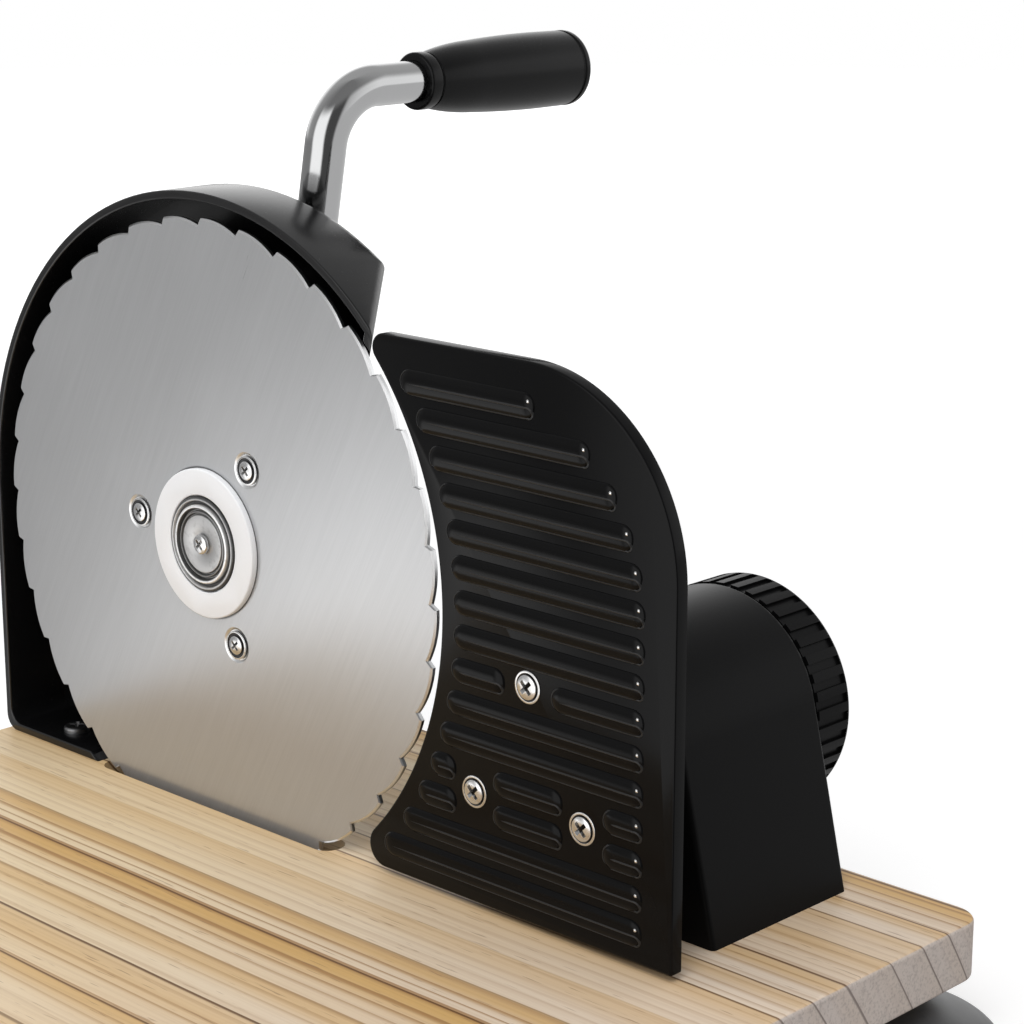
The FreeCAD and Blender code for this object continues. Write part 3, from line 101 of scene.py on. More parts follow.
class Wire:
    """A socket of a node tree that takes part in Python expressions."""

    def __init__(self, graph: "Graph", socket: bpy.types.NodeSocket) -> None:
        """Keep the socket and the tree it belongs to."""
        self.graph = graph
        self.socket = socket

    def maths(self, operation: str, *inputs: Value) -> "Wire":
        """Add one Math node."""
        return self.graph.add("ShaderNodeMath", {"operation": operation}, dict(enumerate(inputs)))

    __add__, __radd__ = overload("ADD")
    __sub__, __rsub__ = overload("SUBTRACT")
    __mul__, __rmul__ = overload("MULTIPLY")
    __truediv__, __rtruediv__ = overload("DIVIDE")
    __pow__, __rpow__ = overload("POWER")

    def cycle(self) -> "Wire":
        """Keep the part behind the point."""
        return self.maths("FRACT", self)

    def size(self) -> "Wire":
        """Drop the sign."""
        return self.maths("ABSOLUTE", self)

    def ease(self, low: float, high: float) -> "Wire":
        """Rise smoothly from 0 at one value to 1 at another.

        Args:
            low: Value that gives 0.
            high: Value that gives 1. It may be the smaller one.

        Returns:
            The smooth step.
        """
        if low > high:
            return 1 - self.ease(high, low)
        return self.graph.add("ShaderNodeMapRange", {"interpolation_type": "SMOOTHSTEP"},
                              {0: self, 1: low, 2: high})


class Graph:
    """The node tree of a material or of the world."""

    def __init__(self, owner: bpy.types.ID) -> None:
        """Start the owner's tree afresh.

        Args:
            owner: The material or world.
        """
        owner.use_nodes = True
        self.tree = owner.node_tree
        self.tree.nodes.clear()

    def add(self, kind: str, settings: dict[str, Any] | None = None,
            values: dict[int | str, Any] | None = None, output: int | str = 0) -> Wire:
        """Add one node.

        Args:
            kind: The node's type.
            settings: Its own settings, set first. The entry stops gives a ramp's grey stops.
            values: What its sockets take, by number or name: a number, a tuple or a wire.
            output: The socket to go on with, by number or name.

        Returns:
            The chosen output.
        """
        node = self.tree.nodes.new(kind)
        for name, value in (settings or {}).items():
            if name != "stops":
                setattr(node, name, value)
                continue
            stops = node.color_ramp.elements
            while len(stops) < len(value):
                stops.new(1.0)
            for stop, (position, grey) in zip(stops, value):
                stop.position = position
                stop.color = (grey, grey, grey, 1.0)
        for name, value in (values or {}).items():
            socket = node.inputs[name]
            if isinstance(value, Wire):
                self.tree.links.new(value.socket, socket)
            else:
                socket.default_value = value
        return Wire(self, node.outputs[output] if node.outputs else None)

    def layers(self, colour: Wire | Colour, *over: tuple[Value, Wire | Colour]) -> Wire:
        """Lay colours over each other with Mix nodes.

        Args:
            colour: The lowest colour.
            over: Share and colour of each layer above it.

        Returns:
            What shows.
        """
        for share, upper in over:
            one, two = (end if isinstance(end, Wire) else (*end, 1.0) for end in (colour, upper))
            colour = self.add("ShaderNodeMix", {"data_type": "RGBA"},
                              {0: share, 6: one, 7: two}, 2)
        return colour

    def spot(self, stretch: Point = (1.0, 1.0, 1.0), centre: Point = (0.0, 0.0, 0.0)) -> Wire:
        """Give the place on the piece.

        Args:
            stretch: Factors of the three axes.
            centre: Point of the object that becomes the origin, in metres.

        Returns:
            The place as a vector.
        """
        here = self.add("ShaderNodeTexCoord", output="Object")
        moved = self.add("ShaderNodeVectorMath", {"operation": "SUBTRACT"}, {0: here, 1: centre})
        return self.stretched(moved, stretch)

    def stretched(self, place: Wire, factors: Point) -> Wire:
        """Multiply a vector by three factors."""
        return self.add("ShaderNodeVectorMath", {"operation": "MULTIPLY"}, {0: place, 1: factors})

    def axes(self, vector: Wire) -> tuple[Wire, Wire, Wire]:
        """Split a vector into its three values."""
        split = self.add("ShaderNodeSeparateXYZ", values={0: vector}).socket.node
        return tuple(Wire(self, socket) for socket in split.outputs)

    def noise(self, place: Wire, scale: float = 1.0, detail: float = 2.0) -> Wire:
        """Add soft noise.

        Args:
            place: Where it is read.
            scale: Its fineness.
            detail: Its number of finer layers.

        Returns:
            The noise, from 0 to 1 with its middle near a half.
        """
        return self.add("ShaderNodeTexNoise", values={"Vector": place, "Scale": scale,
                                                      "Detail": detail})

    def bands(self, value: Wire, detail: float = 1.0) -> Wire:
        """Add noise that runs along one value."""
        return self.noise(self.add("ShaderNodeCombineXYZ", values={0: value}), detail=detail)

    def streaks(self, stretch: Point, detail: float = 1.0) -> Wire:
        """Add noise that is drawn out along the axes."""
        return self.noise(self.spot(stretch), detail=detail)

    def bump(self, height: Wire, depth: float, strength: float = 0.5) -> Wire:
        """Turn a height into a normal.

        Args:
            height: The height, from 0 to 1.
            depth: How far 1 stands out, in metres.
            strength: Share of the effect.

        Returns:
            The normal.
        """
        return self.add("ShaderNodeBump", values={"Strength": strength, "Distance": depth,
                                                  "Height": height})

    def polar(self) -> tuple[Wire, Wire]:
        """Give the distance from the blade's axis in metres and the angle round it in radians."""
        x, _, z = self.axes(self.spot(centre=tuple(BLADE_ORIGIN * MM)))
        return (x * x + z * z) ** 0.5, z.maths("ARCTAN2", z, x)


def shade(colour: Colour, factor: float) -> Colour:
    """Make a colour lighter or darker."""
    return tuple(min(value * factor, 1.0) for value in colour)


class Finish:
    """What every finish shares: a name and a Principled surface."""

    name = "finish"

    def material(self) -> bpy.types.Material:
        """Make the material, or find the one made before.

        Returns:
            The material.
        """
        made = bpy.data.materials.get(self.name)
        if made is None:
            made = bpy.data.materials.new(self.name)
            graph = Graph(made)
            shader = graph.add("ShaderNodeBsdfPrincipled", values=self.sockets(graph))
            graph.add("ShaderNodeOutputMaterial", values={"Surface": shader})
        return made

    def sockets(self, graph: Graph) -> Sockets:
        """Wire the surface.

        Args:
            graph: The material's tree.

        Returns:
            What the shader's sockets take.
        """
        raise NotImplementedError


@dataclass(frozen=True)
class BladeSteel(Finish):
    """Ground steel of the blade, with fine steep lines and a painted shadow round the hub."""

    name: str = "brushed_blade"
    tint: Colour = (0.465, 0.471, 0.480)
    roughness: float = 0.30
    metallic: float = 0.66
    painted_hub_shadow: float = 0.0222
    slant: float = 62.0
    line: Point = (40.0, 1.0, 2600.0)
    stroke: Point = (22.0, 1.0, 420.0)
    # The last shade is the dark colour of the painted shadow round the hub.
    shades: tuple[float, ...] = (0.97, 1.03, 1.35, 1.4, 0.1)

    def sockets(self, graph: Graph) -> Sockets:
        """Wire the surface.

        Args:
            graph: The material's tree.

        Returns:
            What the shader's sockets take.
        """
        place = graph.spot()
        turned = graph.add("ShaderNodeVectorRotate", {"rotation_type": "Y_AXIS"},
                           {"Vector": place, "Angle": math.radians(self.slant)})
        lines = graph.noise(graph.stretched(turned, self.line), detail=3.0)
        strokes = graph.noise(graph.stretched(turned, self.stroke))
        cloud = graph.noise(place, 14.0, 3.0)
        # Painted shadow round the hub: the blade darkens just outside the hub's edge.
        painted_hub_shadow = graph.polar()[0].ease(self.painted_hub_shadow + 0.0008, self.painted_hub_shadow + 0.0002)
        low, pale, stroke, cast, ring = (shade(self.tint, factor) for factor in self.shades)
        colour = graph.layers(low, (lines.ease(0.25, 0.75), pale),
                              (strokes.ease(0.35, 0.8) * 0.10, stroke),
                              ((cloud - 0.5) * 0.35, cast), (painted_hub_shadow * 0.85, ring))
        rough = (self.roughness + (cloud - 0.5) * 0.10 + (lines - 0.5) * 0.03
                 + (strokes - 0.5) * 0.02)
        return {"Base Color": colour, "Metallic": self.metallic, "Roughness": rough,
                "Specular IOR Level": 0.3, "Normal": graph.bump(lines, 0.000004, 0.3)}


@dataclass(frozen=True)
class GroundEdge(Finish):
    """Bright ground edge round the blade."""

    name: str = "ground_edge"
    tint: Colour = (0.74, 0.745, 0.75)

    def sockets(self, graph: Graph) -> Sockets:
        """Wire the surface.

        Args:
            graph: The material's tree.

        Returns:
            What the shader's sockets take.
        """
        lines = graph.bands(graph.polar()[1] * 600.0, 2.0)
        return {"Base Color": graph.layers(shade(self.tint, 0.9), (lines, self.tint)),
                "Metallic": 1.0, "Roughness": 0.26 + lines * 0.15}


@dataclass(frozen=True)
class Steel(Finish):
    """Plain metal with faint marks of handling."""

    name: str = "plated_screw"
    tint: Colour = (0.70, 0.70, 0.70)
    roughness: float = 0.22

    def sockets(self, graph: Graph) -> Sockets:
        """Wire the surface.

        Args:
            graph: The material's tree.

        Returns:
            What the shader's sockets take.
        """
        place = graph.spot()
        fine = graph.noise(place, 900.0)
        cloud = graph.noise(place, 160.0)
        return {"Base Color": graph.layers(shade(self.tint, 0.86), (cloud, self.tint)),
                "Metallic": 1.0, "Roughness": self.roughness + (fine - 0.5) * 0.16,
                "Normal": graph.bump(fine, 0.00001)}


@dataclass(frozen=True)
class TurnedSteel(Finish):
    """Lathe steel: rings round the blade's axis, dull grooves, painted light on its steps."""

    name: str = "lathe_steel"
    pitch: float = 0.00045
    reach: float = 0.015
    bright: Colour = (0.30, 0.30, 0.305)
    dull: Colour = (0.2, 0.2, 0.2)
    # These tones paint shade into the cap's recessed rings and highlight onto its proud rings.
    painted_ring_light: tuple[Pair, ...] = ((0.0, 0.50), (0.57, 0.50), (0.60, 0.10), (0.625, 0.12),
                               (0.65, 0.42), (0.67, 0.40), (0.69, 0.07), (0.715, 0.08),
                               (0.735, 0.90), (0.775, 0.90), (0.795, 0.05), (0.83, 0.06),
                               (0.85, 0.55), (0.885, 0.55), (0.91, 0.05), (1.0, 0.05))

    def sockets(self, graph: Graph) -> Sockets:
        """Wire the surface.

        Args:
            graph: The material's tree.

        Returns:
            What the shader's sockets take.
        """
        radius = graph.polar()[0]
        rings = graph.bands(radius / self.pitch, 2.0)
        marks = graph.noise(graph.spot(), 700.0)
        # Painted shade and highlight: the tone follows the radius, dark in the recesses, bright on
        # the proudest ring.
        tone = graph.add("ShaderNodeValToRGB", {"stops": self.painted_ring_light}, {0: radius / self.reach})
        colour = graph.layers(tone, (rings * 0.25, self.bright),
                              (marks.ease(0.5, 0.75) * 0.3, self.dull))
        return {"Base Color": colour, "Metallic": 0.8, "Roughness": 0.30 + rings * 0.15,
                "Normal": graph.bump(rings + marks * 0.5, 0.00002)}


@dataclass(frozen=True)
class Chrome(Finish):
    """Plated rod with a faint wave and a little dust."""

    name: str = "bright_chrome"
    tint: Colour = (0.42, 0.422, 0.425)

    def sockets(self, graph: Graph) -> Sockets:
        """Wire the surface.

        Args:
            graph: The material's tree.

        Returns:
            What the shader's sockets take.
        """
        place = graph.spot()
        wave = graph.noise(place, 60.0)
        dust = graph.noise(place, 1500.0).ease(0.66, 0.8)
        return {"Base Color": graph.layers(shade(self.tint, 0.95), (wave, shade(self.tint, 1.05))),
                "Metallic": 1.0, "Roughness": 0.11 + dust * 0.1,
                "Normal": graph.bump(wave, 0.00006, 0.3)}


@dataclass(frozen=True)
class Plastic(Finish):
    """Moulded plastic with the faint skin of its tool."""

    name: str = "gloss_moulding"
    tint: Colour = (0.0035, 0.0035, 0.0038)
    roughness: float = 0.22
    level: float = 0.45
    grain: float = 0.00001
    grain_scale: float = 500.0

    def sockets(self, graph: Graph) -> Sockets:
        """Wire the surface.

        Args:
            graph: The material's tree.

        Returns:
            What the shader's sockets take.
        """
        place = graph.spot()
        skin = graph.noise(place, self.grain_scale)
        sweep = graph.noise(place, 22.0, 3.0)
        dust = graph.noise(place, 1800.0, 1.0).ease(0.70, 0.82)
        pale = tuple(min(value * 1.3 + 0.0015, 1.0) for value in self.tint)
        return {"Base Color": graph.layers(self.tint, (dust * 0.5 + sweep * 0.3, pale)),
                "Specular IOR Level": self.level,
                "Roughness": self.roughness + (sweep - 0.5) * 0.08 + dust * 0.1,
                "Normal": graph.bump(skin, self.grain)}


@dataclass(frozen=True)
class Pine(Finish):
    """Pine board with growth rings that run along it.

    The pith lies below and in front of the board, so the rings cross the top as lines along X and
    the ends as slanted arcs.
    """

    name: str = "pine_wood"
    pith: Pair = (-0.43, -0.30)
    rings: float = 78.0
    ground: Colour = (0.77, 0.62, 0.41)
    right: Colour = (0.745, 0.62, 0.495)
    warm: Colour = (0.62, 0.39, 0.15)
    hair: Colour = (0.33, 0.165, 0.055)
    dark: Colour = (0.11, 0.05, 0.022)
    fibre: Colour = (0.38, 0.23, 0.12)
    fleck: Colour = (0.24, 0.13, 0.07)
    end: Pair = (0.149, 0.155)
    sawn: Colour = (0.545, 0.49, 0.465)
    sawn_late: Colour = (0.16, 0.12, 0.10)
    pore: Colour = (0.20, 0.17, 0.155)

    def sockets(self, graph: Graph) -> Sockets:
        """Wire the surface.

        Args:
            graph: The material's tree.

        Returns:
            What the shader's sockets take.
        """
        place = graph.spot()
        x, y, z = graph.axes(place)
        bend = graph.streaks((2.2, 3.0, 3.0)) - 0.5
        sway = graph.streaks((11.0, 26.0, 26.0)) - 0.5
        dy, dz = y - self.pith[0], z - self.pith[1]
        depth = (dy * dy + dz * dz) ** 0.5 + bend * 0.011 + sway * 0.0012
        rings = depth * self.rings + graph.bands(depth * 30.0) * 1.6
        share = rings.cycle()
        fall = share.ease(1.0, 0.985)
        band = share.ease(0.25, 0.80) * fall
        late = share.ease(0.925, 0.965) * fall
        strength = graph.bands(rings.maths("FLOOR", rings) * 3.7, 0.0).ease(0.2, 0.55)
        tone = graph.bands(depth * 36.0).ease(0.40, 0.66) * 0.6
        fine = (depth * 290.0 + graph.bands(depth * 150.0) * 2.4).cycle()
        fine = fine.ease(0.55, 0.95) * fine.ease(1.0, 0.96)
        fibre = graph.streaks((18.0, 1100.0, 1100.0), 3.0)
        patch = graph.streaks((5.0, 26.0, 26.0), 2.0).ease(0.4, 0.75)
        fleck = graph.streaks((90.0, 1500.0, 1500.0)).ease(0.68, 0.76)
        colour = graph.layers(
            self.ground, (x.ease(-0.08, 0.16), self.right), (patch * 0.3, self.warm),
            (band * (0.40 + tone), self.warm), (fine * (0.20 + tone), self.hair),
            (late * strength * 0.92, self.dark), ((fibre - 0.42) * 0.6, self.fibre),
            (fleck * 0.5, self.fleck))
        face = graph.axes(graph.add("ShaderNodeNewGeometry", output="Normal"))[0]
        sawn = face.size().ease(0.55, 0.85) * x.size().ease(*self.end)
        pores = graph.noise(place, 1300.0).ease(0.45, 0.70)
        blotch = graph.noise(place, 160.0) - 0.5
        end = graph.layers(colour, (0.80, self.sawn), (late * 0.75, self.sawn_late),
                           (pores * 0.32 + blotch * 0.3, self.pore))
        height = fibre * 0.6 + late * 0.4 + sawn * pores * 0.8
        return {"Base Color": graph.layers(colour, (sawn, end)),
                "Roughness": 0.50 + (fibre - 0.5) * 0.2 + sawn * 0.2,
                "Specular IOR Level": 0.3, "Normal": graph.bump(height, 0.00006)}


@dataclass(frozen=True)
class Rubber(Finish):
    """Grey rubber with a soft bloom."""

    name: str = "soft_rubber"
    tint: Colour = (0.022, 0.022, 0.023)

    def sockets(self, graph: Graph) -> Sockets:
        """Wire the surface.

        Args:
            graph: The material's tree.

        Returns:
            What the shader's sockets take.
        """
        place = graph.spot()
        bloom = graph.noise(place, 90.0, 3.0)
        return {"Base Color": graph.layers(self.tint, (bloom, shade(self.tint, 1.5))),
                "Roughness": 0.36 + bloom * 0.15,
                "Normal": graph.bump(graph.noise(place, 1400.0), 0.00002)}


FINISHES: dict[Slot, Finish] = {
    Slot.PINE: Pine(),
    Slot.RUBBER: Rubber(),
    Slot.BLADE: BladeSteel(),
    Slot.SCREW: Steel(),
    Slot.TURNED: TurnedSteel(),
    Slot.CHROME: Chrome(),
    Slot.BRASS: Steel("brass", (0.72, 0.50, 0.18), 0.3),
    Slot.HUB: Plastic("white_moulding", (0.90, 0.91, 0.93), 0.35, 0.3),
    Slot.GLOSS: Plastic(),
    Slot.FENCE: Plastic("fence_moulding", (0.0035, 0.0035, 0.0037), 0.16, 0.10),
    Slot.SATIN: Plastic("satin_moulding", (0.0035, 0.0035, 0.0037), 0.30, 0.05, 0.00002, 900.0),
    Slot.BARREL: Steel("grey_tube", (0.25, 0.25, 0.26), 0.35),
}
GRIP = Plastic("grip_moulding", (0.004, 0.004, 0.0042), 0.26, 0.14)
# Pale plastic for the fence's beads: painted highlight lines.
RIB_PAINTED_HIGHLIGHT = Plastic("painted_highlight_moulding", (0.020, 0.020, 0.0205), 0.30, 0.25)
# Dark steel for the screws' grooves: painted shadow.
GROOVE_PAINTED_SHADOW = Steel("painted_shadow_steel", (0.06, 0.06, 0.062), 0.4)
DULL = Steel("dull_steel", (0.24, 0.24, 0.245), 0.38)


def facing(direction: Point, spot: Point = (0.0, 0.0, 0.0)) -> Matrix:
    """Give the place of a form that was drawn along +Z.

    Args:
        direction: Where its +Z goes, in the blade frame.
        spot: Where its origin goes, in millimetres.

    Returns:
        The matrix of the place.
    """
    turn = Vector(UP).rotation_difference(Vector(direction)).to_matrix().to_4x4()
    return Matrix.Translation(spot) @ turn


def heading(point: Pair) -> float:
    """Give the angle of a point round the origin, in degrees."""
    return math.degrees(math.atan2(point[1], point[0]))


def arc(centre: Pair, radius: float, first: float, last: float, steps: int) -> list[Pair]:
    """Give points along an arc.

    Args:
        centre: Its middle.
        radius: Its radius.
        first: Angle of its first point, in degrees.
        last: Angle of its last point.
        steps: Number of its stretches.

    Returns:
        Its points.
    """
    angles = [math.radians(first + (last - first) * step / steps) for step in range(steps + 1)]
    return [(centre[0] + radius * math.cos(angle), centre[1] + radius * math.sin(angle))
            for angle in angles]


def filleted(points: Sequence[Sequence[float]], steps: int = 5) -> list[Pair]:
    """Round the corners of a closed or open line.

    Args:
        points: Corners, each with its rounding radius as a third value where it has one.
        steps: Number of stretches of each arc.

    Returns:
        The line with its arcs.
    """
    result: list[Pair] = []
    for index, point in enumerate(points):
        corner = Vector(point[:2])
        if len(point) < 3:
            result.append(tuple(corner))
            continue
        before = Vector(points[index - 1][:2]) - corner
        after = Vector(points[(index + 1) % len(points)][:2]) - corner
        half = before.angle(after) / 2
        reach = min(point[2] / math.tan(half), 0.49 * before.length, 0.49 * after.length)
        radius = reach * math.tan(half)
        middle = (before.normalized() + after.normalized()).normalized()
        centre = corner + middle * (radius / math.sin(half))
        first = corner + before.normalized() * reach - centre
        last = corner + after.normalized() * reach - centre
        turn = math.atan2(first.x * last.y - first.y * last.x, first.dot(last))
        for step in range(steps + 1):
            swing = Matrix.Rotation(turn * step / steps, 2)
            result.append(tuple(centre + swing @ first))
    return result


def curve(first: Pair, pull: Pair, last: Pair, steps: int = 10) -> list[Pair]:
    """Draw a smooth curve between two points.

    Args:
        first: Where it starts.
        pull: The point that both ends head for.
        last: Where it ends.
        steps: Number of its stretches.

    Returns:
        Its points, without the first.
    """
    start, middle, end = Vector(first), Vector(pull), Vector(last)
    shares = [step / steps for step in range(1, steps + 1)]
    return [tuple(start.lerp(middle, share).lerp(middle.lerp(end, share), share))
            for share in shares]


class Form:
    """A mesh in the making, in millimetres in the blade frame."""

    def __init__(self) -> None:
        """Start empty."""
        self.mesh = bmesh.new()

    def ring(self, spots: Iterable[Sequence[float]]) -> Ring:
        """Add the vertices of one ring."""
        return [self.mesh.verts.new(spot) for spot in spots]

    def face(self, corners: Ring, finish: int = 0) -> None:
        """Add one face with one of the piece's finishes."""
        made = self.mesh.faces.new(corners)
        made.material_index, made.smooth = finish, True

    def skin(self, one: Ring, two: Ring, finish: int = 0) -> None:
        """Join two rings.

        Args:
            one: First ring. A ring of one vertex is a tip.
            two: Second ring, with as many vertices unless it is a tip.
            finish: Number of the finish.
        """
        count = max(len(one), len(two))
        for here in range(count):
            after = (here + 1) % count
            corners = [one[here % len(one)], one[after % len(one)],
                       two[after % len(two)], two[here % len(two)]]
            self.face(list(dict.fromkeys(corners)), finish)

    def loft(self, rings: Sequence[Ring], finish: int = 0, capped: bool = True) -> None:
        """Join rings in turn.

        Args:
            rings: The rings.
            finish: Number of the finish.
            capped: Whether a face closes the first and the last ring.
        """
        for one, two in zip(rings, rings[1:]):
            self.skin(one, two, finish)
        for ring in (rings[0], rings[-1]) if capped else ():
            self.face(ring, finish)

    def turned(self, profile: Sequence[Pair], place: Matrix, count: int, loop: bool = False,
               finish: int = 0) -> None:
        """Turn a profile round its axis.

        Args:
            profile: Height and radius of each of its points.
            place: Where the drawing's axis goes.
            count: Number of sides.
            loop: Whether the profile closes on itself round a bore.
            finish: Number of the finish.
        """
        rings = []
        for height, radius in profile:
            sides = count if radius > 0 else 1
            spots = arc((0.0, 0.0), radius, 0.0, 360.0, sides)[:-1]
            rings.append(self.ring(place @ Vector((*spot, height)) for spot in spots))
        self.loft(rings + (rings[:1] if loop else []), finish, capped=False)

    def baked(self, name: str) -> bpy.types.Object:
        """Turn the form into an object in the scene, still in millimetres.

        Args:
            name: Name of the object.

        Returns:
            The object.
        """
        bmesh.ops.recalc_face_normals(self.mesh, faces=self.mesh.faces)
        mesh = bpy.data.meshes.new(name)
        self.mesh.to_mesh(mesh)
        made = bpy.data.objects.new(name, mesh)
        bpy.context.scene.collection.objects.link(made)
        return made

    def carve(self, tool: "Form", finish: bpy.types.Material | None = None) -> None:
        """Cut another form out of this one.

        Args:
            tool: The form to cut away.
            finish: Finish of the cut, which becomes the second of this form.
        """
        body, cutter = self.baked("body"), tool.baked("cutter")
        if finish:
            plain = bpy.data.materials.new("plain")
            for material in (plain, finish):
                body.data.materials.append(material)
            cutter.data.materials.append(finish)
        cut = body.modifiers.new("cut", "BOOLEAN")
        cut.object = cutter
        cut.operation = "DIFFERENCE"
        cut.solver = "EXACT"
        cut.material_mode = "TRANSFER" if finish else "INDEX"
        graph = bpy.context.evaluated_depsgraph_get()
        result = bpy.data.meshes.new_from_object(body.evaluated_get(graph))
        self.mesh.clear()
        self.mesh.from_mesh(result)
        for thing in (body, cutter):
            bpy.data.objects.remove(thing)
        if finish:
            bpy.data.materials.remove(plain)


class Assembly:
    """What the sub-assemblies share: settling, dressing and reporting their pieces."""

    def settle(self, form: Form, name: str, body: Body, slot: Slot, node: str,
               finishes: Sequence[Finish] = (), sharp: float = 30.0, bevel: float = 0.0) -> None:
        """Turn a form into a piece of the object.

        Args:
            form: The form, in the blade frame.
            name: Name of the piece.
            body: Body that it rides on.
            slot: Material slot of the record.
            node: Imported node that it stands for.
            finishes: Its finishes, or the slot's own.
            sharp: Angle in degrees from which an edge stays sharp.
            bevel: Width in millimetres of what is broken off its sharp edges.
        """
        form.mesh.transform(Matrix.Scale(MM, 4) @ Matrix.Translation(BLADE_ORIGIN))
        piece = form.baked(name)
        piece.data.shade_smooth()
        piece.data.set_sharp_from_angle(angle=math.radians(sharp))
        for finish in finishes or (FINISHES[slot],):
            piece.data.materials.append(finish.material())
        if bevel:
            edge = piece.modifiers.new("edge", "BEVEL")
            edge.width = bevel * MM
            edge.segments = 2
            edge.limit_method = "ANGLE"
            edge.angle_limit = math.radians(35.0)
            edge.harden_normals = True
        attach(piece, body.value)
        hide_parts(node)
        LOG.info("%s: %d faces, rides on %s", name, len(piece.data.polygons), body.value)

    def refined(self, node: str, width: float, front: float) -> Form:
        """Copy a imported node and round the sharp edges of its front.

        Args:
            node: Name of the node.
            width: Width of the rounding in millimetres.
            front: Y of the front, in the blade frame.

        Returns:
            The rounded form in the blade frame.
        """
        form = Form()
        form.mesh.from_mesh(frame["nodes"][node].data)
        form.mesh.transform(Matrix.Translation(-BLADE_ORIGIN) @ Matrix.Scale(1 / MM, 4))
        bmesh.ops.remove_doubles(form.mesh, verts=form.mesh.verts, dist=0.002)
        bmesh.ops.dissolve_limit(form.mesh, angle_limit=math.radians(0.5),
                                 verts=form.mesh.verts, edges=form.mesh.edges)
        chosen = [edge for edge in form.mesh.edges
                  if len(edge.link_faces) == 2 and edge.calc_face_angle() > math.radians(30)
                  and all(abs(vert.co.y - front) < 0.01 for vert in edge.verts)]
        bmesh.ops.bevel(form.mesh, geom=chosen, offset=width, segments=3, profile=0.5,
                        affect="EDGES", clamp_overlap=True)
        return form


@dataclass(frozen=True)
class CrossScrew:
    """Pan head screw with a cross recess, and a groove with painted shadow round it if given."""

    radius: float = 4.25
    rise: float = 0.8
    shank: float = 1.9
    length: float = 3.0
    cross: float = 5.0
    slot: float = 1.1
    depth: float = 1.3
    groove: Pair | None = None

    def form(self, direction: Point, spots: Iterable[Point]) -> Form:
        """Build the same screw at several places.

        Args:
            direction: Where its head faces.
            spots: Where each head's seat is.

        Returns:
            The screws.
        """
        once = Form()
        crown = min(0.35 * self.rise, 0.3)
        inner, outer = self.groove or (self.radius, 0.0)
        shank = [(-self.length, 0.0), (-self.length, self.shank), (0.0, self.shank),
                 (0.0, self.radius)]
        if self.groove:
            head = [(0.3, self.radius, 0.2), (0.35, outer, 0.1), (0.1, outer - 0.1),
                    (0.05, inner + 0.1), (self.rise - crown, inner, 0.3 * self.rise)]
        else:
            head = [(self.rise - crown, self.radius, 0.6 * self.rise)]
        tip = [(self.rise, 0.55 * inner), (self.rise, 0.0)]
        once.turned(filleted(shank + head + tip), Matrix.Identity(4), 48)
        # The groove's faces take the second finish, dark steel that is painted shadow.
        for face in once.mesh.faces:
            middle = face.calc_center_median()
            if inner + 0.02 < middle.xy.length < outer and middle.z > 0.01:
                face.material_index = 1
        corners = ((-0.5, -0.5), (0.5, -0.5), (0.5, 0.5), (-0.5, 0.5))
        for turn in (45.0, 135.0):
            place = Matrix.Rotation(math.radians(turn), 4, "Z")
            tool = Form()
            tool.loft([tool.ring(place @ Vector((x * length, y * width, height))
                                 for x, y in corners)
                       for length, width, height in (
                           (self.cross, self.slot, self.rise + 0.1),
                           (0.5 * self.cross, 0.6 * self.slot, self.rise - self.depth))])
            once.carve(tool)
        mesh = bpy.data.meshes.new("screw")
        once.mesh.to_mesh(mesh)
        group = Form()
        for spot in spots:
            copy = mesh.copy()
            copy.transform(facing(direction, spot))
            group.mesh.from_mesh(copy)
        return group


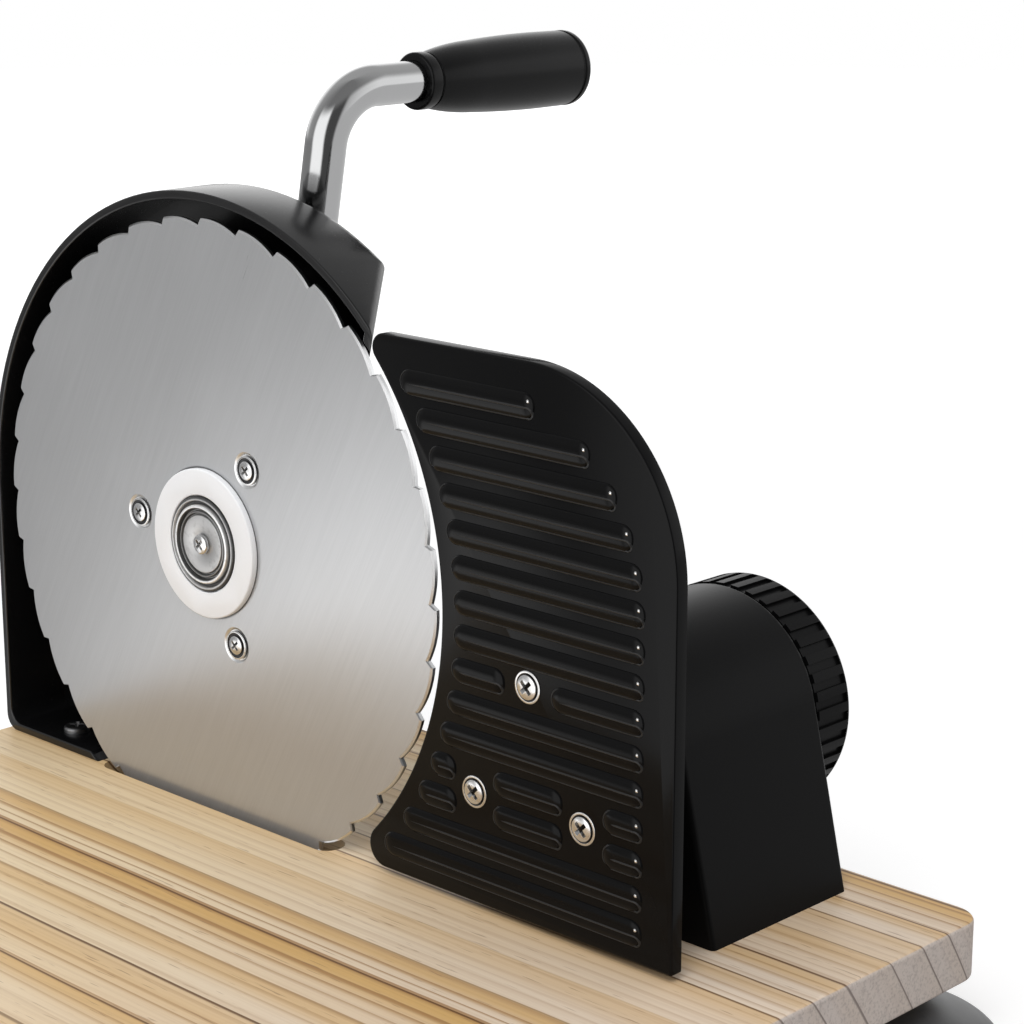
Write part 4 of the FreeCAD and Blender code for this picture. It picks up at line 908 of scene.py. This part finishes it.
@dataclass
class BladeUnit(Assembly):
    """Scalloped blade, its screws, the white hub and the cap in its middle."""

    radius: float = 95.0
    thickness: float = 1.5
    teeth: int = 36
    tooth_depth: float = 2.1
    tooth_step: float = 1.2
    tooth_bow: float = 0.8
    tooth_turn: float = 9.4
    tooth_points: int = 8
    ground: float = 0.55
    ground_drop: float = 0.45
    hub: float = 22.2
    hub_front: float = -1.8
    hub_edge: float = 0.45
    screw_ring: float = 31.0
    screw_turn: float = 53.0
    screw: CrossScrew = CrossScrew(cross=3.6, slot=0.8, groove=(2.75, 3.75))
    dimple: float = 5.5
    cap: float = 14.1
    cap_steps: tuple[tuple[float, ...], ...] = (
        (-0.6, 0.0), (-2.05, 0.0, 0.5), (-2.2, 1.1, 0.3), (-1.2, 1.6, 0.2), (-1.2, 2.0, 0.2),
        (-2.6, 2.5, 0.4), (-2.6, 3.4, 0.4), (-1.2, 3.8, 0.2), (-1.2, 4.1, 0.2), (-2.1, 4.4, 0.2),
        (-2.1, 4.8, 0.2), (-1.3, 5.0, 0.1), (-1.3, 5.3, 0.1), (-1.95, 5.6, 0.2))
    cap_screw: CrossScrew = CrossScrew(radius=3.0, rise=1.3, cross=3.8, slot=0.9)

    def rim(self) -> list[Pair]:
        """Lay out the scalloped rim.

        Returns:
            The angle in radians and the radius of each of its points.
        """
        pitch = 2 * math.pi / self.teeth
        step = self.tooth_step / self.radius
        points = []
        for tooth in range(self.teeth):
            tip = tooth * pitch + math.radians(self.tooth_turn)
            points.append((tip, self.radius))
            for part in range(self.tooth_points):
                share = part / self.tooth_points
                chord = self.radius - self.tooth_depth * (1 - share)
                points.append((tip + step + (pitch - step) * share,
                               chord + 4 * self.tooth_bow * share * (1 - share)))
        return points

    def blade(self) -> None:
        """Build the blade with its ground edge and its screws in their dimples."""
        form = Form()
        rim = self.rim()

        def around(level: float, inset: float = 0.0, radius: float = 0.0) -> Ring:
            """Add a ring at a level, along the rim or at one radius."""
            return form.ring((size * math.cos(angle), level, size * math.sin(angle))
                             for angle, size in ((a, radius or r - inset) for a, r in rim))

        rings = [around(self.thickness, radius=self.hub), around(self.thickness),
                 around(self.ground_drop), around(0.0, inset=self.ground),
                 around(0.0, radius=0.9 * self.radius), around(0.0, radius=self.hub)]
        for one, two, finish in zip(rings, rings[1:] + rings[:1], (0, 1, 1, 0, 0, 0)):
            form.skin(one, two, finish)
        spots = [(x, 0.0, z) for x, z in arc((0.0, 0.0), self.screw_ring, self.screw_turn,
                                             self.screw_turn + 240.0, 2)]
        tool = Form()
        for spot in spots:
            tool.turned([(0.25, 0.0), (0.25, self.dimple + 0.3), (-0.5, self.dimple - 0.9),
                         (-0.5, 0.0)], facing(FRONT, spot), 64)
        bright = GroundEdge()
        form.carve(tool, bright.material())
        self.settle(form, "blade_disc", Body.BLADE, Slot.BLADE, "blade",
                    (FINISHES[Slot.BLADE], bright), sharp=18.0)
        # The second finish of these screws is painted shadow in their grooves.
        self.settle(self.screw.form(FRONT, spots), "blade_cross_screws", Body.BLADE, Slot.SCREW,
                    "blade_screws", (FINISHES[Slot.SCREW], GROOVE_PAINTED_SHADOW), bevel=0.08)

    def middle(self) -> None:
        """Build the white hub and the stepped cap with its screw."""
        self.settle(self.refined("blade_hub", self.hub_edge, self.hub_front), "white_hub",
                    Body.BLADE, Slot.HUB, "blade_hub")
        form = Form()
        steps = [(level, self.cap - inset, *rounding) for level, inset, *rounding in self.cap_steps]
        form.turned(filleted([(-0.6, 0.0), *steps, (-1.85, 3.6), (-1.7, 3.3), (-1.7, 0.0)], 4),
                    facing(BACK), 96)
        self.settle(form, "stepped_cap", Body.ROOT, Slot.TURNED, "axle_cap", sharp=40.0)
        self.settle(self.cap_screw.form(FRONT, [(0.0, self.hub_front, 0.0)]), "cap_cross_screw",
                    Body.ROOT, Slot.SCREW, "axle_screw", bevel=0.06)

    def build(self) -> None:
        """Build the unit's pieces."""
        self.blade()
        self.middle()


@dataclass
class Housing(Assembly):
    """Black hood and back plate with its screws."""

    front: float = -1.5
    edge: float = 0.45
    screw: CrossScrew = CrossScrew(4.2, 2.0, 2.0, 3.0, 5.0, 1.2, 1.8)
    screw_spots: tuple[Point, ...] = ((-78.0, 8.0, -78.5), (-85.6, 33.5, -77.0),
                                      (-22.0, 33.5, -77.0))

    def build(self) -> None:
        """Build the housing's pieces."""
        self.settle(self.refined("gear_housing", self.edge, self.front), "hood_shell", Body.ROOT,
                    Slot.GLOSS, "gear_housing")
        self.settle(self.screw.form(UP, self.screw_spots), "housing_cross_screws", Body.ROOT,
                    Slot.SCREW, "housing_screws", (DULL,), bevel=0.08)


@dataclass
class Crank(Assembly):
    """Chromed rod and its black grip."""

    axis: Pair = (8.4236, 48.0167)
    lean: float = 10.9
    plane: float = 30.0
    reach: float = 84.1
    rod: float = 6.0
    rod_sides: int = 64
    bend: float = 16.0
    bend_steps: int = 24
    start: float = 8.5
    end: float = 117.0
    grip_start: float = 61.8
    grip_end: float = 126.0
    bore: float = 6.08
    pocket: float = 7.75
    pocket_depth: float = 13.0

    def rod_form(self) -> Form:
        """Sweep the rod from the boss, up, round its bend and on to the grip's end.

        Returns:
            The rod.
        """
        lean = math.radians(self.lean)
        out, back = Vector((math.sin(lean), 0.0, math.cos(lean))), Vector(BACK)
        side = out.cross(back)
        origin = Vector((self.axis[0], self.plane, self.axis[1]))
        corner = self.reach - self.bend
        quarter = math.pi / 2
        stations = [(self.start, 0.0, 0.0, self.rod), (corner - 0.5, 0.0, 0.0, self.rod)]
        for step in range(self.bend_steps + 1):
            turn = quarter * step / self.bend_steps
            stations.append((corner + self.bend * math.sin(turn),
                             self.bend * (1 - math.cos(turn)), turn, self.rod))
        for level, size in ((self.end - 0.5, self.rod), (self.end, self.rod - 0.5)):
            stations.append((self.reach, level - self.plane, quarter, size))
        form = Form()
        rings = []
        for far, deep, turn, size in stations:
            centre = origin + out * far + back * deep
            level = math.cos(turn) * back - math.sin(turn) * out
            spots = arc((0.0, 0.0), size, 0.0, 360.0, self.rod_sides)[:-1]
            rings.append(form.ring(centre + x * side + y * level for x, y in spots))
        form.loft(rings)
        return form

    def grip_form(self) -> Form:
        """Turn the grip: collar, groove, waist, swell and the bead at its end.

        Returns:
            The grip.
        """
        start, end = self.grip_start, self.grip_end
        waist, swell = (start + 22.0, 10.5), (start + 50.0, 11.4)
        profile = filleted([
            (start, self.bore), (start, 8.3, 0.8), (start + 4.0, 8.3, 0.4),
            (start + 4.4, 7.6, 0.2), (start + 5.0, 7.6, 0.2), (start + 5.4, 8.2, 0.2)])
        profile += curve((start + 5.4, 8.2), (start + 13.0, 10.1), waist)
        profile += curve(waist, (start + 36.0, 11.4), swell)
        profile += filleted([
            (end - 3.4, 11.3), (end - 2.9, 10.95, 0.2), (end - 2.5, 10.95, 0.2),
            (end - 2.2, 11.35, 0.3), (end, 11.3, 1.4), (end, self.pocket, 0.2),
            (end - self.pocket_depth, self.pocket), (end - self.pocket_depth, self.bore)])
        x, z = arc(self.axis, self.reach, 90.0 - self.lean, 90.0, 1)[0]
        form = Form()
        form.turned(profile, facing(BACK, (x, 0.0, z)), 96, loop=True)
        return form

    def build(self) -> None:
        """Build the crank's pieces."""
        self.settle(self.rod_form(), "bent_rod", Body.CRANK, Slot.CHROME, "crank_arm")
        self.settle(self.grip_form(), "turned_grip", Body.GRIP, Slot.GLOSS, "grip", (GRIP,))


@dataclass
class Rib:
    """One half-round rib of the fence, with fine painted-highlight beads and a painted glint pip.
    """

    form: Form
    start: float
    end: float
    level: float
    front: float
    half: float = 3.5
    rise: float = 1.0
    foot: float = 0.3
    sides: int = 12
    shares: tuple[float, ...] = (1.0, 0.985, 0.94, 0.86, 0.74, 0.58, 0.4, 0.2)
    bead_half: float = 1.5
    bead_drop: float = 1.85
    bead_width: float = 0.32
    bead_rise: float = 0.22
    bead_section: tuple[Pair, ...] = ((-1.0, -0.25), (-0.6, 0.7), (0.0, 1.0), (0.6, 0.7),
                                      (1.0, -0.25))
    bead_ends: tuple[float, ...] = (3.4, 2.05, 2.6)
    bead_parts: int = 20
    # The pip is steel put where there is only a glint: a painted glint.
    glint_pip_place: Pair = (1.6, 1.4)
    glint_pip_profile: tuple[Pair, ...] = ((-0.2, 0.0), (-0.2, 0.5), (0.1, 0.5), (0.26, 0.375),
                                      (0.34, 0.2), (0.36, 0.0))

    def dome(self, x: float, z: float) -> float:
        """Measure the rib's skin.

        Args:
            x: Place along X.
            z: Place along Z.

        Returns:
            Y of the skin, or of the plate outside the rib.
        """
        near = min(max(x, self.start + self.half), self.end - self.half)
        share = math.hypot(x - near, z - self.level) / self.half
        return self.front - self.rise * math.sqrt(max(1 - share ** 2, 0.0))

    def skin(self) -> None:
        """Add the rib to its form."""
        left, right = self.start + self.half, self.end - self.half
        rings = []
        for share in (1.0, *self.shares):
            height = self.front - self.rise * math.sqrt(1 - share ** 2)
            height += 0.0 if rings else self.foot
            size = share * self.half
            rim = (arc((right, self.level), size, -90.0, 90.0, self.sides)
                   + arc((left, self.level), size, 90.0, 270.0, self.sides))
            rings.append(self.form.ring((x, height, z) for x, z in rim))
        self.form.loft(rings, capped=False)
        self.form.face(rings[0])
        poles = self.form.ring((x, self.front - self.rise, self.level) for x in (right, left))
        self.form.skin(rings[-1], [pole for pole in poles for _ in range(self.sides + 1)])

    def lines(self) -> list[list[Vector]]:
        """Lay out the beads.

        Returns:
            A loop that is open on the left, and an arc round the left end.
        """
        z = self.level - self.bead_drop
        first, tip, last = (self.start + self.bead_ends[0], self.end - self.bead_ends[1],
                            self.start + self.bead_ends[2])
        count = self.bead_parts
        loop = [(first + (tip - first) * part / count, z + self.bead_half)
                for part in range(count)]
        loop += arc((tip, z), self.bead_half, 90.0, -90.0, 16)
        loop += [(tip + (last - tip) * part / count, z - self.bead_half)
                 for part in range(1, count + 1)]
        bow = arc((self.start + self.half, self.level), self.half - 0.3, 105.0, 230.0, count)
        return [[Vector(spot) for spot in line] for line in (loop, bow)]

    def bead(self, line: Sequence[Vector]) -> None:
        """Add a fine bead on the skin, which carries a painted highlight line.

        Args:
            line: The points in X and Z of the open line that it follows.
        """
        last = len(line) - 1
        rings = []
        for index, point in enumerate(line):
            along = line[min(index + 1, last)] - line[max(index - 1, 0)]
            side = along.normalized().orthogonal()
            size = min(1.0, (0.1 + index) / 3, (last + 0.1 - index) / 3)
            places = [(point + side * (share * self.bead_width * size), rise)
                      for share, rise in self.bead_section]
            rings.append(self.form.ring((x, self.dome(x, z) - self.bead_rise * rise * size, z)
                                        for (x, z), rise in places))
        self.form.loft(rings, 1)

    def painted_glint_pip(self) -> None:
        """Add the bright pip near the right end, a painted glint."""
        x, z = self.end - self.glint_pip_place[0], self.level + self.glint_pip_place[1]
        self.form.turned(self.glint_pip_profile, facing(FRONT, (x, self.dome(x, z), z)), 16, finish=2)


@dataclass
class Fence(Assembly):
    """Ribbed plate that the loaf leans on, and its screws."""

    front: float = -2.0
    back: float = 0.2
    rim_back: float = 2.2
    rim_wall: float = 1.5
    inner: float = 99.2
    top: float = 72.3
    right: float = 181.0
    low: float = -79.0
    big: float = 60.0
    small: float = 4.0
    wide: float = 6.0
    rib_first: float = 60.8
    rib_pitch: float = 9.4
    rib_count: int = 15
    rib_left: float = 5.0
    rib_right: float = 10.0
    rib_gap: float = 8.5
    axis: Pair = (131.0, -36.0)
    screw_ring: float = 22.5
    screw: CrossScrew = CrossScrew(4.5, 1.0, cross=4.8, slot=1.2, depth=1.4, groove=(3.35, 3.85))

    def outline(self) -> list[Vector]:
        """Draw the plate's outline, anticlockwise as seen from the front.

        Returns:
            Points in X and Z, with the corners rounded and the concave side as an arc.
        """
        low, top = ((math.sqrt((self.inner + size) ** 2 - z ** 2), z)
                    for size, z in ((self.wide, self.low + self.wide),
                                    (self.small, self.top - self.small)))
        points = arc(low, self.wide, heading(low) + 180.0, 270.0, 12)
        points += filleted([points[-1], (self.right, self.low, 0.8),
                            (self.right, self.top, self.big), (top[0], self.top)], 40)[1:-1]
        points += arc(top, self.small, 90.0, heading(top) + 180.0, 12)
        points += arc((0.0, 0.0), self.inner, heading(points[-1]), heading(points[0]), 60)[1:-1]
        return [Vector(point) for point in points]

    def plate(self) -> Form:
        """Build the plate with its softened front edge and its rim, which is turned back.

        Returns:
            The bare plate.
        """
        form = Form()
        points = self.outline()
        after = points[1:] + points[:1]
        normals = [(after[index] - points[index - 1]).normalized().orthogonal()
                   for index in range(len(points))]
        form.loft([form.ring((point.x + inset * normal.x, level, point.y + inset * normal.y)
                             for point, normal in zip(points, normals))
                   for inset, level in (
                       (self.rim_wall, self.back), (self.rim_wall, self.rim_back - 0.2),
                       (self.rim_wall - 0.3, self.rim_back), (0.3, self.rim_back),
                       (0.0, self.rim_back - 0.3), (0.0, self.front + 0.6),
                       (0.12, self.front + 0.3), (0.35, self.front + 0.1), (0.7, self.front))])
        return form

    def screw_spots(self) -> list[Pair]:
        """Give the middles of the plate's screws in X and Z."""
        return arc(self.axis, self.screw_ring, 90.0, 330.0, 2)

    def ribs(self, form: Form, level: float) -> list[Rib]:
        """Lay out the ribs at one level, split round the screws.

        Args:
            form: The form that they go on.
            level: Height of their middle.

        Returns:
            The ribs from left to right.
        """
        left = math.sqrt((self.inner + self.rib_left) ** 2 - level ** 2)
        right = self.right - self.rib_right
        rise = level - (self.top - self.big)
        if rise > 0:
            right = self.right - self.big + math.sqrt((self.big - self.rib_right) ** 2 - rise ** 2)
        runs = [(left, right)]
        for x, z in self.screw_spots():
            if abs(level - z) < self.rib_gap:
                reach = math.sqrt(self.rib_gap ** 2 - (level - z) ** 2)
                runs = [part for start, end in runs
                        for part in (((start, x - reach), (x + reach, end))
                                     if start < x < end else ((start, end),))]
        ribs = [Rib(form, start, end, level, self.front) for start, end in runs]
        return [rib for rib in ribs if rib.end - rib.start > 2 * rib.half]

    def build(self) -> None:
        """Build the fence's pieces."""
        form = self.plate()
        for index in range(self.rib_count):
            ribs = self.ribs(form, self.rib_first - index * self.rib_pitch)
            for rib in ribs:
                rib.skin()
                for line in rib.lines():
                    rib.bead(line)
            # The steel pip at the row's right end is a painted glint.
            ribs[-1].painted_glint_pip()
        # The beads' pale plastic is painted highlight.
        self.settle(form, "ribbed_plate", Body.FENCE, Slot.FENCE, "fence_plate",
                    (FINISHES[Slot.FENCE], RIB_PAINTED_HIGHLIGHT, FINISHES[Slot.SCREW]), sharp=28.0)
        spots = [(x, self.front, z) for x, z in self.screw_spots()]
        # The second finish of these screws is painted shadow in their grooves.
        self.settle(self.screw.form(FRONT, spots), "fence_cross_screws", Body.FENCE, Slot.SCREW,
                    "fence_screws", (FINISHES[Slot.SCREW], GROOVE_PAINTED_SHADOW), bevel=0.08)


@dataclass
class Base(Assembly):
    """What carries the rest: the screws under the board and behind the knob."""

    floor: float = -118.0
    cup: CrossScrew = CrossScrew(4.6, 3.0, 2.1, 3.0, 5.6, 1.3, 2.0)
    cup_rows: tuple[Pair, Pair] = ((-83.0, 193.0), (-115.0, 68.0))
    cup_seat: float = 11.0
    stand: CrossScrew = CrossScrew(4.0, 2.4, 1.9, 3.0, 4.8, 1.2, 1.8)
    stand_rows: tuple[Pair, Pair] = ((96.7, 165.3), (30.0, 69.0))
    stand_seat: float = 22.8
    knob: CrossScrew = CrossScrew(4.0, 2.2, 1.9, 3.0, 4.8, 1.2, 1.8)
    knob_spot: Point = (131.0, 89.4, -36.0)

    def build(self) -> None:
        """Build the screws that show from below and behind."""
        for part, screw, rows, seat in (("cup", self.cup, self.cup_rows, self.cup_seat),
                                        ("stand", self.stand, self.stand_rows, self.stand_seat)):
            spots = [(x, y, self.floor + seat) for y in rows[1] for x in rows[0]]
            self.settle(screw.form(DOWN, spots), f"{part}_cross_screws", Body.ROOT, Slot.SCREW,
                        f"{part}_screws")
        self.settle(self.knob.form(BACK, [self.knob_spot]), "knob_cross_screw", Body.KNOB,
                    Slot.SCREW, "knob_screw")


class Dresser:
    """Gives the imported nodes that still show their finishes."""

    def dress(self) -> None:
        """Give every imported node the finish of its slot."""
        for part in frame["record"]["subparts"]:
            node = frame["nodes"][part["node"]]
            finish = FINISHES[Slot(part["material_slot"])]
            node.data.materials.clear()
            node.data.materials.append(finish.material())
            LOG.info("%s: %s", part["node"], finish.name)


@dataclass
class Studio:
    """Camera, lamps, floor and world.

    A panel's stops are a heading, where 0.5 looks along -Y, 0.75 along +X and 0.25 along -X, and
    how bright the room is there.
    """

    azimuth: float = 43.96671
    elevation: float = 14.56647
    spot: Point = (523.18, -459.01, 319.79)
    lens: float = 92.71
    sensor: float = 36.0
    lamps: tuple[tuple[str, Point, float], ...] = (("key", (0.55, -0.75, 1.25), 11.0),
                                                   ("fill", (-0.9, -0.5, 0.9), 4.0))
    lamp_size: float = 0.9
    lamp_aim: Point = (0.0, 0.0, 0.05)
    floor_radius: float = 3.0
    floor_grey: float = 0.62
    strip_place: Pair = (-0.361, 0.007)
    strip_size: Pair = (0.30, 0.085)
    strip_shine: float = 2.3
    soft: Colour = (0.275, 0.275, 0.2775)
    white: Colour = (0.5, 0.5, 0.5)
    low: tuple[Pair, ...] = ((0.0, 0.44), (0.10, 0.44), (0.14, 0.19), (0.40, 0.20), (0.43, 1.0),
                             (0.575, 1.0), (0.60, 0.06), (0.705, 0.06), (0.735, 0.44), (1.0, 0.44))
    middle: tuple[Pair, ...] = ((0.0, 0.75), (0.22, 0.75), (0.30, 0.30), (0.40, 0.235),
                                (0.43, 1.0), (0.575, 1.0), (0.60, 0.06), (0.705, 0.06),
                                (0.735, 0.44), (0.85, 0.75), (1.0, 0.75))
    high: tuple[Pair, ...] = ((0.0, 0.34), (0.25, 0.34), (0.40, 0.22), (0.50, 0.16),
                              (0.75, 0.17), (0.88, 0.30), (1.0, 0.34))

    def aimed(self, data: bpy.types.ID, spot: Vector, way: Vector) -> bpy.types.Object:
        """Put a camera or a lamp in the scene.

        Args:
            data: The camera or lamp.
            spot: Where it goes, in metres.
            way: Where it looks.

        Returns:
            Its object.
        """
        made = bpy.data.objects.new(data.name, data)
        bpy.context.scene.collection.objects.link(made)
        made.location = spot
        made.rotation_mode = "QUATERNION"
        made.rotation_quaternion = way.to_track_quat("-Z", "Y")
        return made

    def camera(self) -> None:
        """Set the camera where the photograph was taken from."""
        azimuth, elevation = math.radians(self.azimuth), math.radians(self.elevation)
        back = Vector((math.sin(azimuth) * math.cos(elevation),
                       -math.cos(azimuth) * math.cos(elevation), math.sin(elevation)))
        data = bpy.data.cameras.new("camera")
        data.lens = self.lens
        data.sensor_width = self.sensor
        data.clip_start, data.clip_end = 0.01, 20.0
        bpy.context.scene.camera = self.aimed(data, Vector(self.spot) * MM, -back)

    def hang(self) -> None:
        """Hang the soft square lamps over the object, which metal and gloss don't show."""
        for name, spot, power in self.lamps:
            data = bpy.data.lights.new(name, "AREA")
            data.shape = "SQUARE"
            data.size = self.lamp_size
            data.energy = power
            lamp = self.aimed(data, spot, Vector(self.lamp_aim) - Vector(spot))
            lamp.visible_glossy = False

    def floor(self) -> None:
        """Lay the pale floor, which metal looks through except for one bright strip."""
        form = Form()
        hub = form.ring([(0.0, 0.0, 0.0)])
        rim = arc((0.0, 0.0), self.floor_radius, 0.0, 360.0, 96)[:-1]
        form.skin(hub, form.ring((x, y, 0.0) for x, y in rim))
        floor = form.baked("floor")
        material = bpy.data.materials.new("floor_pale")
        graph = Graph(material)
        camera, gloss = self.rays(graph)
        x, y, _ = graph.axes(graph.spot())
        far = ((x * x + y * y) ** 0.5).ease(0.5, 1.6)
        matte = graph.add("ShaderNodeBsdfDiffuse", values={"Color": (*[self.floor_grey] * 3, 1.0)})
        glow = graph.add("ShaderNodeEmission",
                         values={"Color": 0.50 + 0.5 * far, "Strength": camera})
        both = graph.add("ShaderNodeAddShader", values={0: matte, 1: glow})
        diagonal = math.sqrt(0.5)
        along = ((x + y) * diagonal - self.strip_place[0]) / self.strip_size[0]
        across = ((x - y) * diagonal - self.strip_place[1]) / self.strip_size[1]
        strip = ((along * along + across * across) ** 0.5).ease(2.1, 0.2)
        clear = graph.add("ShaderNodeBsdfTransparent")
        shine = graph.add("ShaderNodeEmission", values={"Strength": self.strip_shine})
        seen = graph.add("ShaderNodeMixShader", values={0: strip, 1: clear, 2: shine})
        whole = graph.add("ShaderNodeMixShader", values={0: gloss, 1: both, 2: seen})
        graph.add("ShaderNodeOutputMaterial", values={"Surface": whole})
        floor.data.materials.append(material)

    def rays(self, graph: Graph) -> list[Wire]:
        """Tell the camera's rays and those of metal and gloss."""
        return [graph.add("ShaderNodeLightPath", output=f"Is {kind} Ray")
                for kind in ("Camera", "Glossy")]

    def world(self) -> None:
        """Light the room: white for the camera, soft grey for matt things, panels for gloss."""
        world = bpy.data.worlds.new("studio")
        bpy.context.scene.world = world
        graph = Graph(world)
        x, y, z = graph.axes(graph.add("ShaderNodeTexCoord", output="Generated"))
        share = z.maths("ARCTAN2", x, 0 - y) / (2 * math.pi) + 0.5
        low, middle, high = (graph.add("ShaderNodeValToRGB", {"stops": stops}, {0: share})
                             for stops in (self.low, self.middle, self.high))
        panels = graph.layers(low, (z.ease(-0.04, 0.06), middle), (z.ease(0.40, 0.70), high))
        camera, gloss = self.rays(graph)
        colour = graph.layers(self.soft, (camera, self.white), (gloss, panels))
        glow = graph.add("ShaderNodeBackground", values={"Color": colour, "Strength": 2.0})
        graph.add("ShaderNodeOutputWorld", values={"Surface": glow})

    def build(self) -> None:
        """Set up everything round the object."""
        bpy.context.scene.view_settings.view_transform = "Standard"
        self.camera()
        self.floor()
        self.world()
        self.hang()


def main() -> None:
    """Build the classes in order and report each piece."""
    Studio().build()
    Dresser().dress()
    for assembly in (BladeUnit(), Housing(), Crank(), Fence(), Base()):
        assembly.build()


if __name__ == "__main__":
    logging.basicConfig(level=logging.INFO, format="%(message)s")
    main()
